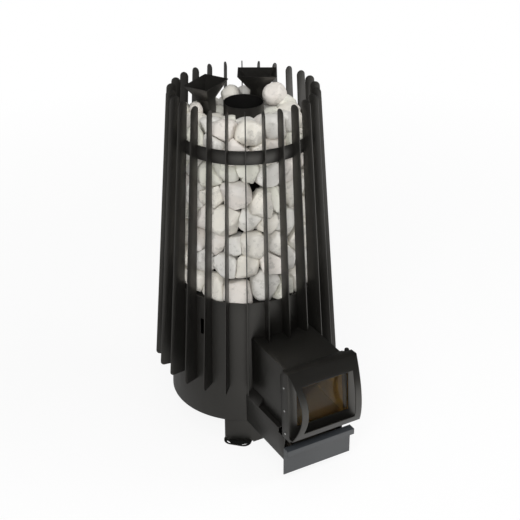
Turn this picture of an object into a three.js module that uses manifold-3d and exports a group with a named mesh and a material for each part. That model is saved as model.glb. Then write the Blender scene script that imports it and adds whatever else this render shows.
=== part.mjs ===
// A wood-fired sauna stove: a fire tunnel with a glazed door leads into a round firebox, which stands
// in a sheet-steel drum and under a cage of upright fins that holds the heating stones.
// Millimetres, +Z up. The door faces -Y, and the origin is on the floor under the middle of the stove.
import * as THREE from 'three';
import { mergeVertices } from 'three/addons/utils/BufferGeometryUtils.js';
import Module from 'manifold-3d';

const wasm = await Module();
wasm.setup();

// Driving dimensions. Heights are above the floor and radii are from the drum's axis.
// A reach is a distance forward of that axis, towards the door. GAP and ROOM are clearances
// between pieces, and PAST is how far a cutter runs past the face that it cuts.
const GAP = 0.3;
const ROOM = 1;
const PAST = 1;
const SHEET = 3;
const THIN_SHEET = 2;
const WELD = 0.001;

const FIN_COUNT = 26;
const FIN_FOOT = 199.5;
const FIN_TOP = 1064.8;
const FIN_FOOT_RADIUS = 282.4;
const FIN_TOP_RADIUS = 217.6;
const FIN_CORNER = 13;

const DRUM_BOTTOM = 79.3;
const DRUM_TOP = 483.8;
const DRUM_BOTTOM_RADIUS = 233;
const DRUM_TOP_RADIUS = 220.5;
const DRUM_FACETS = 2 * FIN_COUNT;
const SLOT_WIDTH = 12;
const SLOT_BOTTOM = 361;
const SLOT_TOP = 412;
const SLOT_BAY = 4.6;

const CAGE_FOOT_RADIUS = 221;
const CAGE_TOP_RADIUS = 190.2;
const BAND_BOTTOM = 910;
const BAND_TOP = 951;
const BAND_RADIUS = 201;

const LEG_BAYS = [-2.5, 2.5, -10.5, 10.5];
const LEG_NAMES = ['front_left', 'front_right', 'rear_left', 'rear_right'];
const LEG_HALF_ANGLE = 10.8;
const LEG_DEPTH = 48;
const FOOT_THICKNESS = 4;
const FOOT_RADIUS = 231;
const FOOT_SHIFT = 5.5;
const FOOT_TURN = 10;
const FOOT_HALF = 42.5;
const FOOT_OUT = 20.5;
const FOOT_BACK = 46;
const FOOT_CORNER = 24;
const ANCHOR_OUT = 11.5;
const ANCHOR_SPREAD = 25;
const ANCHOR_TURN = 34;
const ANCHOR_LENGTH = 11;
const ANCHOR_RADIUS = 3.2;

const FIREBOX_RADIUS = 130;
const FIREBOX_WALL = 5;
const FIREBOX_TOP = 640;
const FIREBOX_FACETS = 36;
const FIRE_FLOOR = 162;
const GRATE_SIZE = 164;
const GRATE_HEIGHT = 12;
const GRATE_SLOTS = 7;

const FLUE_RADIUS = 57.5;
const FLUE_WALL = 2.5;
const FLUE_BOTTOM = 699;
const FLUE_TOP = 1017.6;
const NECK_TOP = 722;

const TUNNEL_HALF = 93.25;
const TUNNEL_BOTTOM = 173.6;
const TUNNEL_TOP = 368.7;
const ASH_HALF = 110.75;
const ASH_BOTTOM = DRUM_BOTTOM;
const ASH_REACH = 388.7;
const ASH_LIP_TOP = 158;
const CHEEK_REACH = 274.7;
const CHEEK_TOP = 200;

const DOOR_REACH = 450.5;
const DOOR_HEIGHT = 270.5;
const DOOR_LEAN = 4;
const LEAF_HALF = 113.8;
const LEAF_BOTTOM = -106;
const LEAF_TOP = 112;
const LEAF_DEPTH = 41;
const LEAF_CHAMFER = 16;
const SURROUND_HALF = 100;
const SURROUND_BOTTOM = -98;
const SURROUND_TOP = 103.4;
const MOUTH_BOTTOM = -90;
const MOUTH_TOP = 99.4;
const SEAL_WIDTH = 9;
const SEAL_DEPTH = 8;
const WINDOW_HALF = 86;
const WINDOW_BOTTOM = -62;
const WINDOW_TOP = 76;
const PANE_MARGIN = 9;
const PANE_THICKNESS = 4;

const BOW_BOTTOM = -97.1;
const BOW_FOOT_REACH = 16.2;
const BOW_HEAD_REACH = 1.4;
const BOW_SAG = 41.8;
const BOW_WAIST = 15.4;
const BOW_WINDOW_HALF = 85.3;
const BOW_WINDOW_WAIST = 7.6;
const BOW_WINDOW_BOTTOM = -69.1;
const BOW_WINDOW_TOP = 79.5;

const HINGE_X = 113;
const HINGE_SETBACK = 48.5;
const HINGE_EYE_RADIUS = 7;
const HINGE_PIN_RADIUS = 4;
const HINGE_EYE_LENGTH = 16;
const HINGE_UPPER = 88;
const HINGE_LOWER = -82;

const DRAWER_HALF = 76;
const DRAWER_BACK = 85;
const DRAWER_TOP = 110;
const DRAWER_FRONT_HALF = 113.5;
const DRAWER_FRONT_REACH = 427.4;
const DRAWER_FRONT_BOTTOM = 29.6;
const DRAWER_FRONT_TOP = 124.8;
const DRAWER_LIP_REACH = 449;
const DRAWER_LIP_BOTTOM = 106;

const FUNNEL_X = 82.7;
const FUNNEL_Y = 68.6;
const FUNNEL_TURN = 30;
const FUNNEL_LENGTH = 113;
const FUNNEL_WIDTH = 79;
const FUNNEL_RIM = 1067;
const FUNNEL_NECK_TOP = 1020;
const FUNNEL_NECK_BOTTOM = 865;
const FUNNEL_NECK_LENGTH = 40;
const FUNNEL_NECK_WIDTH = 38;

const STONE_COLUMNS = 14;
const STONE_SHELF_TOP = 477;
const STONE_SPLIT = 698;
const STONE_HEAP_FOOT = 960;
const STONE_ROWS_LOWER = 2;
const STONE_ROWS_UPPER = 2;
const STONE_JOINT_DEPTH = 22;
const STONE_FACE_DEPTH = 6;
const STONE_CROWN_DEPTH = 3;
const STONE_FACE_SHARE = 0.7;
const STONE_LEAN = 6;
const STONE_HEIGHT_WANDER = 0.2;
const STONE_ANGLE_WANDER = 0.45;
const HEAP_BED_TOP = 980;
const HEAP_WANDER = 14;
const HEAP_RINGS = [
  { count: 12, radius: 151, size: [38, 42, 34], height: 991 },
  { count: 7, radius: 95, size: [36, 38, 30], height: 986 },
];

const BLACK_PAINT = { color: 0x2e2d2b, roughness: 0.55, metalness: 0.3 };
const GREY_PAINT = { color: 0x5d5f61, roughness: 0.5, metalness: 0.3 };
const FOOT_PAINT = { color: 0x161716, roughness: 0.3, metalness: 0.3 };
const BARE_STEEL = { color: 0x6b665f, roughness: 0.5, metalness: 0.9 };
const CAST_IRON = { color: 0x35322f, roughness: 0.8, metalness: 0.6 };
const AMBER_GLASS = { color: 0x6b4e22, roughness: 0.08, metalness: 0, transparent: true, opacity: 0.45 };
const ROPE = { color: 0xb9b2a2, roughness: 0.95, metalness: 0 };
const PALE_STONE = { color: 0xd9d4c8, roughness: 0.85, metalness: 0 };

const { degToRad, radToDeg, mapLinear } = THREE.MathUtils;
const UPRIGHT = new THREE.Vector3(0, 0, 1);

// Radii that follow the taper of the drum, of the cage's inside and of the fins' outer edges
const drumRadius = (z) => mapLinear(z, DRUM_BOTTOM, DRUM_TOP, DRUM_BOTTOM_RADIUS, DRUM_TOP_RADIUS);
const cageRadius = (z) => mapLinear(z, DRUM_TOP, FIN_TOP, CAGE_FOOT_RADIUS, CAGE_TOP_RADIUS);
const finRadius = (z) => mapLinear(z, FIN_FOOT, FIN_TOP, FIN_FOOT_RADIUS, FIN_TOP_RADIUS);

// The direction of a bay or fin counted from the one over the tunnel, as a turn about +Z from +X
const bayAngle = (bay) => (bay / FIN_COUNT) * 2 * Math.PI - Math.PI / 2;

// A closed solid for joining and cutting, with its shared corners merged and its faces pointing out
function solidOf(geometry) {
  const bare = geometry.clone();
  bare.deleteAttribute('normal');
  bare.deleteAttribute('uv');
  const merged = mergeVertices(bare, WELD);
  const corner = [0, 1, 2].map(() => new THREE.Vector3());
  const triangles = [];
  let volume = 0;
  for (let i = 0; i < merged.index.count; i += 3) {
    const triangle = [0, 1, 2].map((n) => merged.index.getX(i + n));
    if (new Set(triangle).size < 3) continue;
    triangle.forEach((vertex, n) => corner[n].fromBufferAttribute(merged.attributes.position, vertex));
    volume += corner[0].dot(corner[1].cross(corner[2]));
    triangles.push(triangle);
  }
  const outward = volume > 0 ? triangles : triangles.map(([a, b, c]) => [a, c, b]);
  const mesh = new wasm.Mesh({
    numProp: 3,
    vertProperties: new Float32Array(merged.attributes.position.array),
    triVerts: new Uint32Array(outward.flat()),
  });
  return new wasm.Manifold(mesh);
}

function geometryOf(solid) {
  const mesh = solid.getMesh();
  const geometry = new THREE.BufferGeometry();
  geometry.setAttribute('position', new THREE.BufferAttribute(mesh.vertProperties, 3));
  geometry.setIndex(new THREE.BufferAttribute(mesh.triVerts, 1));
  geometry.computeVertexNormals();
  return geometry;
}

const joined = (first, ...others) => others.reduce((whole, other) => whole.add(other), first);
const cut = (first, ...tools) => tools.reduce((rest, tool) => rest.subtract(tool), first);

function addPiece(parent, name, solid, finish) {
  const mesh = new THREE.Mesh(geometryOf(solid), new THREE.MeshStandardMaterial(finish));
  mesh.name = name;
  parent.add(mesh);
  return mesh;
}

// A box between two values on each axis
function block([x0, x1], [y0, y1], [z0, z1]) {
  const geometry = new THREE.BoxGeometry(x1 - x0, y1 - y0, z1 - z0);
  return solidOf(geometry.translate((x0 + x1) / 2, (y0 + y1) / 2, (z0 + z1) / 2));
}

// A round piece turned on +Z from a closed profile of [radius, height] points
function turned(profile, facets) {
  const points = [...profile, profile[0]].map(([radius, height]) => new THREE.Vector2(radius, height));
  return solidOf(new THREE.LatheGeometry(points, facets).rotateX(Math.PI / 2));
}

// Plates cut from an outline: lying flat, standing across X, and standing across Y
function extruded(outline, depth, segments) {
  return new THREE.ExtrudeGeometry(outline, { depth, bevelEnabled: false, curveSegments: segments });
}
function flatPlate(outline, [z0, z1], segments = 6) {
  return solidOf(extruded(outline, z1 - z0, segments).translate(0, 0, z0));
}
function plateAcrossX(outline, [x0, x1], segments = 6) {
  const stand = new THREE.Matrix4().set(0, 0, 1, x0, 1, 0, 0, 0, 0, 1, 0, 0, 0, 0, 0, 1);
  return solidOf(extruded(outline, x1 - x0, segments).applyMatrix4(stand));
}
function plateAcrossY(outline, [y0, y1], segments = 6) {
  return solidOf(extruded(outline, y1 - y0, segments).rotateX(Math.PI / 2).translate(0, y1, 0));
}

function polygon(points) {
  return new THREE.Shape(points.map(([x, y]) => new THREE.Vector2(x, y)));
}
function rectangle([x0, x1], [y0, y1]) {
  return polygon([[x0, y0], [x1, y0], [x1, y1], [x0, y1]]);
}
function roundRod(radius, [z0, z1], facets) {
  const geometry = new THREE.CylinderGeometry(radius, radius, z1 - z0, facets).rotateX(Math.PI / 2);
  return geometry.translate(0, 0, (z0 + z1) / 2);
}

const stove = new THREE.Group();

// Drum: a rolled cone with the way in for the tunnel and the ash channel, and a slot in each flank
function drum() {
  const shell = turned([
    [DRUM_BOTTOM_RADIUS, DRUM_BOTTOM],
    [DRUM_TOP_RADIUS, DRUM_TOP],
    [DRUM_TOP_RADIUS - SHEET, DRUM_TOP],
    [DRUM_BOTTOM_RADIUS - SHEET, DRUM_BOTTOM],
  ], DRUM_FACETS);
  const front = [-DRUM_BOTTOM_RADIUS - SHEET, -FIREBOX_RADIUS];
  const tunnelHalf = TUNNEL_HALF + GAP;
  const tunnelWay = block([-tunnelHalf, tunnelHalf], front, [TUNNEL_BOTTOM - GAP, TUNNEL_TOP + GAP]);
  const ashWay = block([-ASH_HALF - GAP, ASH_HALF + GAP], front, [0, TUNNEL_BOTTOM]);
  const slots = [-SLOT_BAY, SLOT_BAY].map((bay) => {
    const slot = new THREE.BoxGeometry(DRUM_BOTTOM_RADIUS, SLOT_WIDTH, SLOT_TOP - SLOT_BOTTOM);
    slot.translate(DRUM_BOTTOM_RADIUS, 0, (SLOT_TOP + SLOT_BOTTOM) / 2);
    return solidOf(slot.rotateZ(bayAngle(bay)));
  });
  return cut(shell, tunnelWay, ashWay, ...slots);
}
addPiece(stove, 'drum', drum(), BLACK_PAINT);

// Base plate: the disc that closes the drum and stands on the legs, cut away in front for the ash channel
const plateTop = DRUM_BOTTOM + SHEET;
const plateRadius = DRUM_BOTTOM_RADIUS - SHEET - 2 * ROOM;
const baseDisc = turned([
  [0, DRUM_BOTTOM],
  [plateRadius, DRUM_BOTTOM],
  [plateRadius, plateTop],
  [0, plateTop],
], DRUM_FACETS);
const channelWay = block([-ASH_HALF - GAP, ASH_HALF + GAP], [-DRUM_BOTTOM_RADIUS, 0],
  [DRUM_BOTTOM - PAST, plateTop + PAST]);
const firePad = turned([
  [0, DRUM_BOTTOM],
  [FIREBOX_RADIUS, DRUM_BOTTOM],
  [FIREBOX_RADIUS, plateTop],
  [0, plateTop],
], FIREBOX_FACETS);
addPiece(stove, 'base_plate', joined(cut(baseDisc, channelWay), firePad), BLACK_PAINT);

// Legs: sheet rolled flush with the drum. One edge is turned in towards the drum's axis, and the edge
// nearer the middle of the stove is folded flat, to face straight forward or back.
function legWall(inner) {
  const half = inner * degToRad(LEG_HALF_ANGLE);
  const inside = DRUM_BOTTOM_RADIUS - SHEET;
  const tip = DRUM_BOTTOM_RADIUS - LEG_DEPTH;
  const insideHalf = half - (inner * SHEET) / inside;
  const tipHalf = half - (inner * SHEET) / tip;
  const outline = new THREE.Shape();
  outline.moveTo(tip * Math.cos(half), -tip * Math.sin(half));
  outline.lineTo(DRUM_BOTTOM_RADIUS * Math.cos(half), -DRUM_BOTTOM_RADIUS * Math.sin(half));
  outline.absarc(0, 0, DRUM_BOTTOM_RADIUS, -half, half, inner < 0);
  outline.absarc(0, 0, inside, half, -insideHalf, inner > 0);
  outline.lineTo(tip * Math.cos(tipHalf), -tip * Math.sin(tipHalf));
  return flatPlate(outline, [FOOT_THICKNESS + GAP, DRUM_BOTTOM - GAP]);
}
function legFlange(inner, bay) {
  const half = degToRad(LEG_HALF_ANGLE);
  const fromFront = Math.abs(Math.sin(bayAngle(bay)));
  const fromSide = Math.abs(Math.cos(bayAngle(bay)));
  const corner = [DRUM_BOTTOM_RADIUS * Math.cos(half), DRUM_BOTTOM_RADIUS * Math.sin(half)];
  const past = ([x, y], along, deep) => [
    x - along * fromSide - deep * fromFront,
    inner * (y + along * fromFront - deep * fromSide),
  ];
  const outline = polygon([
    past(corner, 0, 0),
    past(corner, LEG_DEPTH, 0),
    past(corner, LEG_DEPTH, SHEET),
    past(corner, 0, SHEET),
  ]);
  return flatPlate(outline, [GAP, DRUM_BOTTOM - GAP]);
}

// Feet: thick plates with a straight front, round corners and a slot near each corner for a floor anchor
function footPlate() {
  const straight = FOOT_HALF - FOOT_CORNER;
  const outline = new THREE.Shape();
  outline.moveTo(-FOOT_BACK, -FOOT_HALF);
  outline.lineTo(FOOT_OUT - FOOT_CORNER, -FOOT_HALF);
  outline.absarc(FOOT_OUT - FOOT_CORNER, -straight, FOOT_CORNER, -Math.PI / 2, 0);
  outline.absarc(FOOT_OUT - FOOT_CORNER, straight, FOOT_CORNER, 0, Math.PI / 2);
  outline.lineTo(-FOOT_BACK, FOOT_HALF);
  const anchor = new THREE.Shape();
  anchor.absarc(ANCHOR_LENGTH / 2, 0, ANCHOR_RADIUS, -Math.PI / 2, Math.PI / 2);
  anchor.absarc(-ANCHOR_LENGTH / 2, 0, ANCHOR_RADIUS, Math.PI / 2, (3 * Math.PI) / 2);
  const slots = [-1, 1].map((side) => {
    const slot = extruded(anchor, FOOT_THICKNESS + 2 * PAST, 6).translate(0, 0, -PAST);
    slot.rotateZ(side * degToRad(90 + ANCHOR_TURN));
    return solidOf(slot.translate(ANCHOR_OUT, side * ANCHOR_SPREAD, 0));
  });
  return cut(flatPlate(outline, [0, FOOT_THICKNESS]), ...slots);
}
LEG_BAYS.forEach((bay, n) => {
  const inFront = Math.abs(bay) < FIN_COUNT / 4;
  const outer = inFront ? Math.sign(bay) : -Math.sign(bay);
  const leg = joined(legWall(-outer), legFlange(-outer, bay));
  addPiece(stove, `leg_${LEG_NAMES[n]}`, leg, BLACK_PAINT).rotation.z = bayAngle(bay);
  const foot = addPiece(stove, `foot_${LEG_NAMES[n]}`, footPlate(), FOOT_PAINT);
  foot.position.set(FOOT_RADIUS, outer * FOOT_SHIFT, 0).applyAxisAngle(UPRIGHT, bayAngle(bay));
  foot.rotation.z = bayAngle(bay) + outer * degToRad(FOOT_TURN);
});

// Fins: plates with a round tip, notched for the band. The three over the tunnel stop above it.
function finOutline(foot) {
  const tipRadius = (finRadius(FIN_TOP) - cageRadius(FIN_TOP)) / 2;
  const tipBase = FIN_TOP - tipRadius;
  const tipCentre = (finRadius(tipBase) + cageRadius(tipBase)) / 2;
  const notchTop = BAND_TOP + GAP;
  const notchBottom = BAND_BOTTOM - GAP;
  const outline = new THREE.Shape();
  outline.moveTo(drumRadius(foot) + GAP, foot);
  outline.lineTo(finRadius(foot) - FIN_CORNER, foot);
  outline.quadraticCurveTo(finRadius(foot), foot, finRadius(foot + FIN_CORNER), foot + FIN_CORNER);
  outline.absarc(tipCentre, tipBase, tipRadius, 0, Math.PI, false);
  outline.lineTo(cageRadius(notchTop), notchTop);
  outline.lineTo(BAND_RADIUS + GAP, notchTop);
  outline.lineTo(BAND_RADIUS + GAP, notchBottom);
  outline.lineTo(cageRadius(notchBottom), notchBottom);
  outline.lineTo(CAGE_FOOT_RADIUS, DRUM_TOP);
  return outline;
}
for (let fin = 0; fin < FIN_COUNT; fin += 1) {
  const overTunnel = Math.min(fin, FIN_COUNT - fin) < 2;
  const foot = overTunnel ? TUNNEL_TOP + SHEET : FIN_FOOT;
  const plate = plateAcrossY(finOutline(foot), [-SHEET / 2, SHEET / 2]);
  const name = `fin_${String(fin + 1).padStart(2, '0')}`;
  addPiece(stove, name, plate, BLACK_PAINT).rotation.z = bayAngle(fin);
}

// Cage band: a flat hoop that ties the fins together round the stones
const bandInner = BAND_RADIUS - SHEET;
const band = turned([
  [BAND_RADIUS, BAND_BOTTOM],
  [BAND_RADIUS, BAND_TOP],
  [bandInner, BAND_TOP],
  [bandInner, BAND_BOTTOM],
], DRUM_FACETS);
addPiece(stove, 'cage_band', band, BLACK_PAINT);

// Firebox: a welded tube on the base plate, open to the tunnel and to the ash channel
function fireboxShell() {
  const inner = FIREBOX_RADIUS - FIREBOX_WALL;
  const bottom = plateTop + GAP;
  const shell = turned([
    [FIREBOX_RADIUS, bottom],
    [FIREBOX_RADIUS, FIREBOX_TOP],
    [inner, FIREBOX_TOP],
    [inner, bottom],
  ], FIREBOX_FACETS);
  const front = [-FIREBOX_RADIUS - FIREBOX_WALL, -FIREBOX_RADIUS / 2];
  const fuelHalf = TUNNEL_HALF - SHEET;
  const ashHalf = ASH_HALF - SHEET;
  const fuelWay = block([-fuelHalf, fuelHalf], front, [TUNNEL_BOTTOM + SHEET, TUNNEL_TOP - SHEET]);
  const ashWay = block([-ashHalf, ashHalf], front, [0, TUNNEL_BOTTOM - GAP - SHEET]);
  return cut(shell, fuelWay, ashWay);
}
addPiece(stove, 'firebox_shell', fireboxShell(), BARE_STEEL);

// Firebox floor: a disc with a square way down to the ash drawer, and the slotted grate that lies on it
function fireboxFloor() {
  const radius = FIREBOX_RADIUS - FIREBOX_WALL - ROOM;
  const top = FIRE_FLOOR + FIREBOX_WALL;
  const half = GRATE_SIZE / 2 - 2 * FIREBOX_WALL;
  const disc = turned([[0, FIRE_FLOOR], [radius, FIRE_FLOOR], [radius, top], [0, top]], FIREBOX_FACETS);
  return cut(disc, block([-half, half], [-half, half], [FIRE_FLOOR - PAST, top + PAST]));
}
function grate() {
  const half = GRATE_SIZE / 2;
  const pitch = GRATE_SIZE / (GRATE_SLOTS + 1);
  const bottom = FIRE_FLOOR + FIREBOX_WALL + GAP;
  const top = bottom + GRATE_HEIGHT;
  const slots = [...Array(GRATE_SLOTS).keys()].map((n) => {
    const x = (n - (GRATE_SLOTS - 1) / 2) * pitch;
    return block([x - pitch / 4, x + pitch / 4], [pitch - half, half - pitch], [bottom - PAST, top + PAST]);
  });
  return cut(block([-half, half], [-half, half], [bottom, top]), ...slots);
}
addPiece(stove, 'firebox_floor', fireboxFloor(), BARE_STEEL);
addPiece(stove, 'grate', grate(), CAST_IRON);

// Crown: the cone that draws the firebox in to the flue pipe's socket
const socket = FLUE_RADIUS + SHEET / 2;
const socketInner = FLUE_RADIUS + GAP;
const crownBottom = FIREBOX_TOP + GAP;
const crown = turned([
  [FIREBOX_RADIUS, crownBottom],
  [socket, FLUE_BOTTOM + ROOM],
  [socket, NECK_TOP],
  [socketInner, NECK_TOP],
  [socketInner, FLUE_BOTTOM - ROOM],
  [FIREBOX_RADIUS - FIREBOX_WALL, crownBottom],
], FIREBOX_FACETS);
addPiece(stove, 'firebox_crown', crown, BARE_STEEL);

// Flue pipe: the open tube that the chimney is set on
const flueInner = FLUE_RADIUS - FLUE_WALL;
const flue = turned([
  [FLUE_RADIUS, FLUE_BOTTOM],
  [FLUE_RADIUS, FLUE_TOP],
  [flueInner, FLUE_TOP],
  [flueInner, FLUE_BOTTOM],
], FIREBOX_FACETS);
addPiece(stove, 'flue_pipe', flue, BLACK_PAINT);

// Stone shelf: the ring between the firebox and the drum's rim that carries the stones
const shelfInner = FIREBOX_RADIUS + ROOM;
const shelfOuter = drumRadius(STONE_SHELF_TOP) - SHEET - ROOM;
const shelfBottom = STONE_SHELF_TOP - SHEET;
const shelf = turned([
  [shelfOuter, shelfBottom],
  [shelfOuter, STONE_SHELF_TOP],
  [shelfInner, STONE_SHELF_TOP],
  [shelfInner, shelfBottom],
], DRUM_FACETS);
addPiece(stove, 'stone_shelf', shelf, BARE_STEEL);

// Tunnel and ash channel: two boxes of sheet, one on the other, that end on the firebox wall.
// The door's lean cuts the tunnel's front end. The channel's left wall runs on under the door.
const doorPlace = new THREE.Matrix4().makeRotationX(-degToRad(DOOR_LEAN));
doorPlace.setPosition(0, -DOOR_REACH, DOOR_HEIGHT);
const surroundBack = HINGE_SETBACK + SHEET + GAP;
const fireboxClear = FIREBOX_RADIUS + GAP;
const fireboxBlank = turned([
  [0, 0],
  [fireboxClear, 0],
  [fireboxClear, FIREBOX_TOP],
  [0, FIREBOX_TOP],
], FIREBOX_FACETS);

function duct(half, [bottom, top], reach) {
  const outline = rectangle([-half, half], [bottom, top]);
  outline.holes.push(rectangle([-half + SHEET, half - SHEET], [bottom + SHEET, top - SHEET]));
  return plateAcrossY(outline, [-reach, -FIREBOX_RADIUS / 2]).subtract(fireboxBlank);
}
function fuelTunnel() {
  const ahead = new THREE.BoxGeometry(2 * DOOR_REACH, DOOR_REACH, DOOR_REACH);
  ahead.translate(0, surroundBack + GAP - DOOR_REACH / 2, 0).applyMatrix4(doorPlace);
  return duct(TUNNEL_HALF, [TUNNEL_BOTTOM, TUNNEL_TOP], DOOR_REACH).subtract(solidOf(ahead));
}
// Sloping cheeks fill the corner between the channel's top and the tunnel's sides near the drum
function ashChannel() {
  const top = TUNNEL_BOTTOM - GAP;
  const drumBlank = turned([
    [0, DRUM_BOTTOM],
    [DRUM_BOTTOM_RADIUS + GAP, DRUM_BOTTOM],
    [DRUM_TOP_RADIUS + GAP, DRUM_TOP],
    [0, DRUM_TOP],
  ], DRUM_FACETS);
  const cheeks = [-1, 1].map((side) => {
    const beside = side * (TUNNEL_HALF + GAP);
    const outline = polygon([
      [beside, top - SHEET / 2],
      [side * ASH_HALF, top - SHEET / 2],
      [side * ASH_HALF, top],
      [beside, CHEEK_TOP],
    ]);
    return plateAcrossY(outline, [-CHEEK_REACH, -FIREBOX_RADIUS]).subtract(drumBlank);
  });
  const lipReach = DRAWER_FRONT_REACH - SHEET - GAP;
  const lip = block([-ASH_HALF, SHEET - ASH_HALF], [-lipReach, ROOM - ASH_REACH],
    [ASH_BOTTOM, ASH_LIP_TOP]);
  return joined(duct(ASH_HALF, [ASH_BOTTOM, top], ASH_REACH), lip, ...cheeks);
}
addPiece(stove, 'fuel_tunnel', fuelTunnel(), BLACK_PAINT);
addPiece(stove, 'ash_channel', ashChannel(), BLACK_PAINT);

// Doorway: everything here stands in the door's leaning plane, with y = 0 on the front of the leaf
const doorway = new THREE.Group();
doorway.applyMatrix4(doorPlace);
stove.add(doorway);

const eyeAt = (radius, [bottom, top]) =>
  solidOf(roundRod(radius, [bottom, top], 16).translate(HINGE_X, HINGE_SETBACK, 0));
const HINGES = [HINGE_UPPER, HINGE_LOWER];

// Surround: the mouth of the tunnel, a flat frame with a sleeve that meets the door's seal,
// and the two fixed hinge eyes on its right edge
const frontOfSurround = surroundBack - FIREBOX_WALL;
const mouthHalf = TUNNEL_HALF - SHEET;
const sealHalf = LEAF_HALF - 2 * SHEET - 2 * ROOM;
const sealBottom = LEAF_BOTTOM + 2 * SHEET + ROOM;
const sealTop = LEAF_TOP - 2 * SHEET - ROOM;
const sealBack = SHEET + GAP + SEAL_DEPTH;

function frame([x1, z0, z1], [inX1, inZ0, inZ1], depth) {
  const outline = rectangle([-x1, x1], [z0, z1]);
  outline.holes.push(rectangle([-inX1, inX1], [inZ0, inZ1]));
  return plateAcrossY(outline, depth);
}
function doorSurround() {
  const mouth = [mouthHalf, MOUTH_BOTTOM, MOUTH_TOP];
  const plate = frame([SURROUND_HALF, SURROUND_BOTTOM, SURROUND_TOP], mouth,
    [frontOfSurround, surroundBack]);
  const sleeve = frame([sealHalf - 3 * ROOM, sealBottom + 3 * ROOM, sealTop - ROOM], mouth,
    [sealBack + GAP, frontOfSurround]);
  const eyes = HINGES.map((height) => {
    const span = [height - HINGE_EYE_LENGTH, height];
    const lug = block([SURROUND_HALF - ROOM, HINGE_X], [HINGE_SETBACK, surroundBack], span);
    return joined(eyeAt(HINGE_EYE_RADIUS, span), lug);
  });
  const bores = HINGES.map((height) =>
    eyeAt(HINGE_PIN_RADIUS + GAP, [height - HINGE_EYE_LENGTH - PAST, height + PAST]));
  return cut(joined(plate, sleeve, ...eyes), ...bores);
}
addPiece(doorway, 'door_surround', doorSurround(), BLACK_PAINT);

// Leaf: a folded tray with the window cut in its front and an eye behind its right flange at each hinge
function doorLeaf() {
  const outer = block([-LEAF_HALF, LEAF_HALF], [0, LEAF_DEPTH], [LEAF_BOTTOM, LEAF_TOP]);
  const inside = LEAF_HALF - SHEET;
  const hollow = block([-inside, inside], [SHEET, LEAF_DEPTH + PAST],
    [LEAF_BOTTOM + SHEET, LEAF_TOP - SHEET]);
  const window = block([-WINDOW_HALF, WINDOW_HALF], [-PAST, SHEET + PAST], [WINDOW_BOTTOM, WINDOW_TOP]);
  const chamfer = plateAcrossX(polygon([
    [LEAF_DEPTH + PAST, LEAF_TOP + PAST],
    [LEAF_DEPTH - LEAF_CHAMFER, LEAF_TOP + PAST],
    [LEAF_DEPTH - LEAF_CHAMFER, LEAF_TOP],
    [LEAF_DEPTH, LEAF_TOP - LEAF_CHAMFER],
    [LEAF_DEPTH + PAST, LEAF_TOP - LEAF_CHAMFER],
  ]), [-LEAF_HALF - PAST, LEAF_HALF + PAST]);
  const tray = cut(outer, hollow, window, chamfer);
  const eyes = HINGES.map((height) => {
    const span = [height + GAP, height + HINGE_EYE_LENGTH];
    const web = block([inside, LEAF_HALF], [LEAF_DEPTH - PAST, HINGE_SETBACK], span);
    return joined(eyeAt(HINGE_EYE_RADIUS, span), web);
  });
  const bores = HINGES.map((height) =>
    eyeAt(HINGE_PIN_RADIUS + GAP, [height - PAST, height + HINGE_EYE_LENGTH + PAST]));
  return cut(joined(tray, ...eyes), ...bores);
}
addPiece(doorway, 'door_leaf', doorLeaf(), BLACK_PAINT);

// Hinge pins: headed rods dropped through the eyes from above
['upper', 'lower'].forEach((place, n) => {
  const top = HINGES[n] + HINGE_EYE_LENGTH + GAP;
  const shank = eyeAt(HINGE_PIN_RADIUS, [HINGES[n] - HINGE_EYE_LENGTH - SHEET, top + PAST]);
  const head = eyeAt(HINGE_EYE_RADIUS - ROOM, [top, top + SHEET]);
  addPiece(doorway, `hinge_pin_${place}`, joined(shank, head), BARE_STEEL);
});

// Glass pane behind the window, the retainer frame behind the pane, and the rope seal round both
const paneHalf = WINDOW_HALF + PANE_MARGIN;
const paneZ = [WINDOW_BOTTOM - PANE_MARGIN, WINDOW_TOP + PANE_MARGIN];
const paneBack = SHEET + GAP + PANE_THICKNESS;
const pane = block([-paneHalf, paneHalf], [SHEET + GAP, paneBack], paneZ);
addPiece(doorway, 'door_glass', pane, AMBER_GLASS);
const retainer = frame([paneHalf, ...paneZ], [WINDOW_HALF, WINDOW_BOTTOM, WINDOW_TOP],
  [paneBack + GAP, paneBack + GAP + THIN_SHEET]);
addPiece(doorway, 'glass_retainer', retainer, BARE_STEEL);
const seal = frame([sealHalf, sealBottom, sealTop],
  [sealHalf - SEAL_WIDTH, sealBottom + SEAL_WIDTH, sealTop - SEAL_WIDTH], [SHEET + GAP, sealBack]);
addPiece(doorway, 'door_seal', seal, ROPE);

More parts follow.
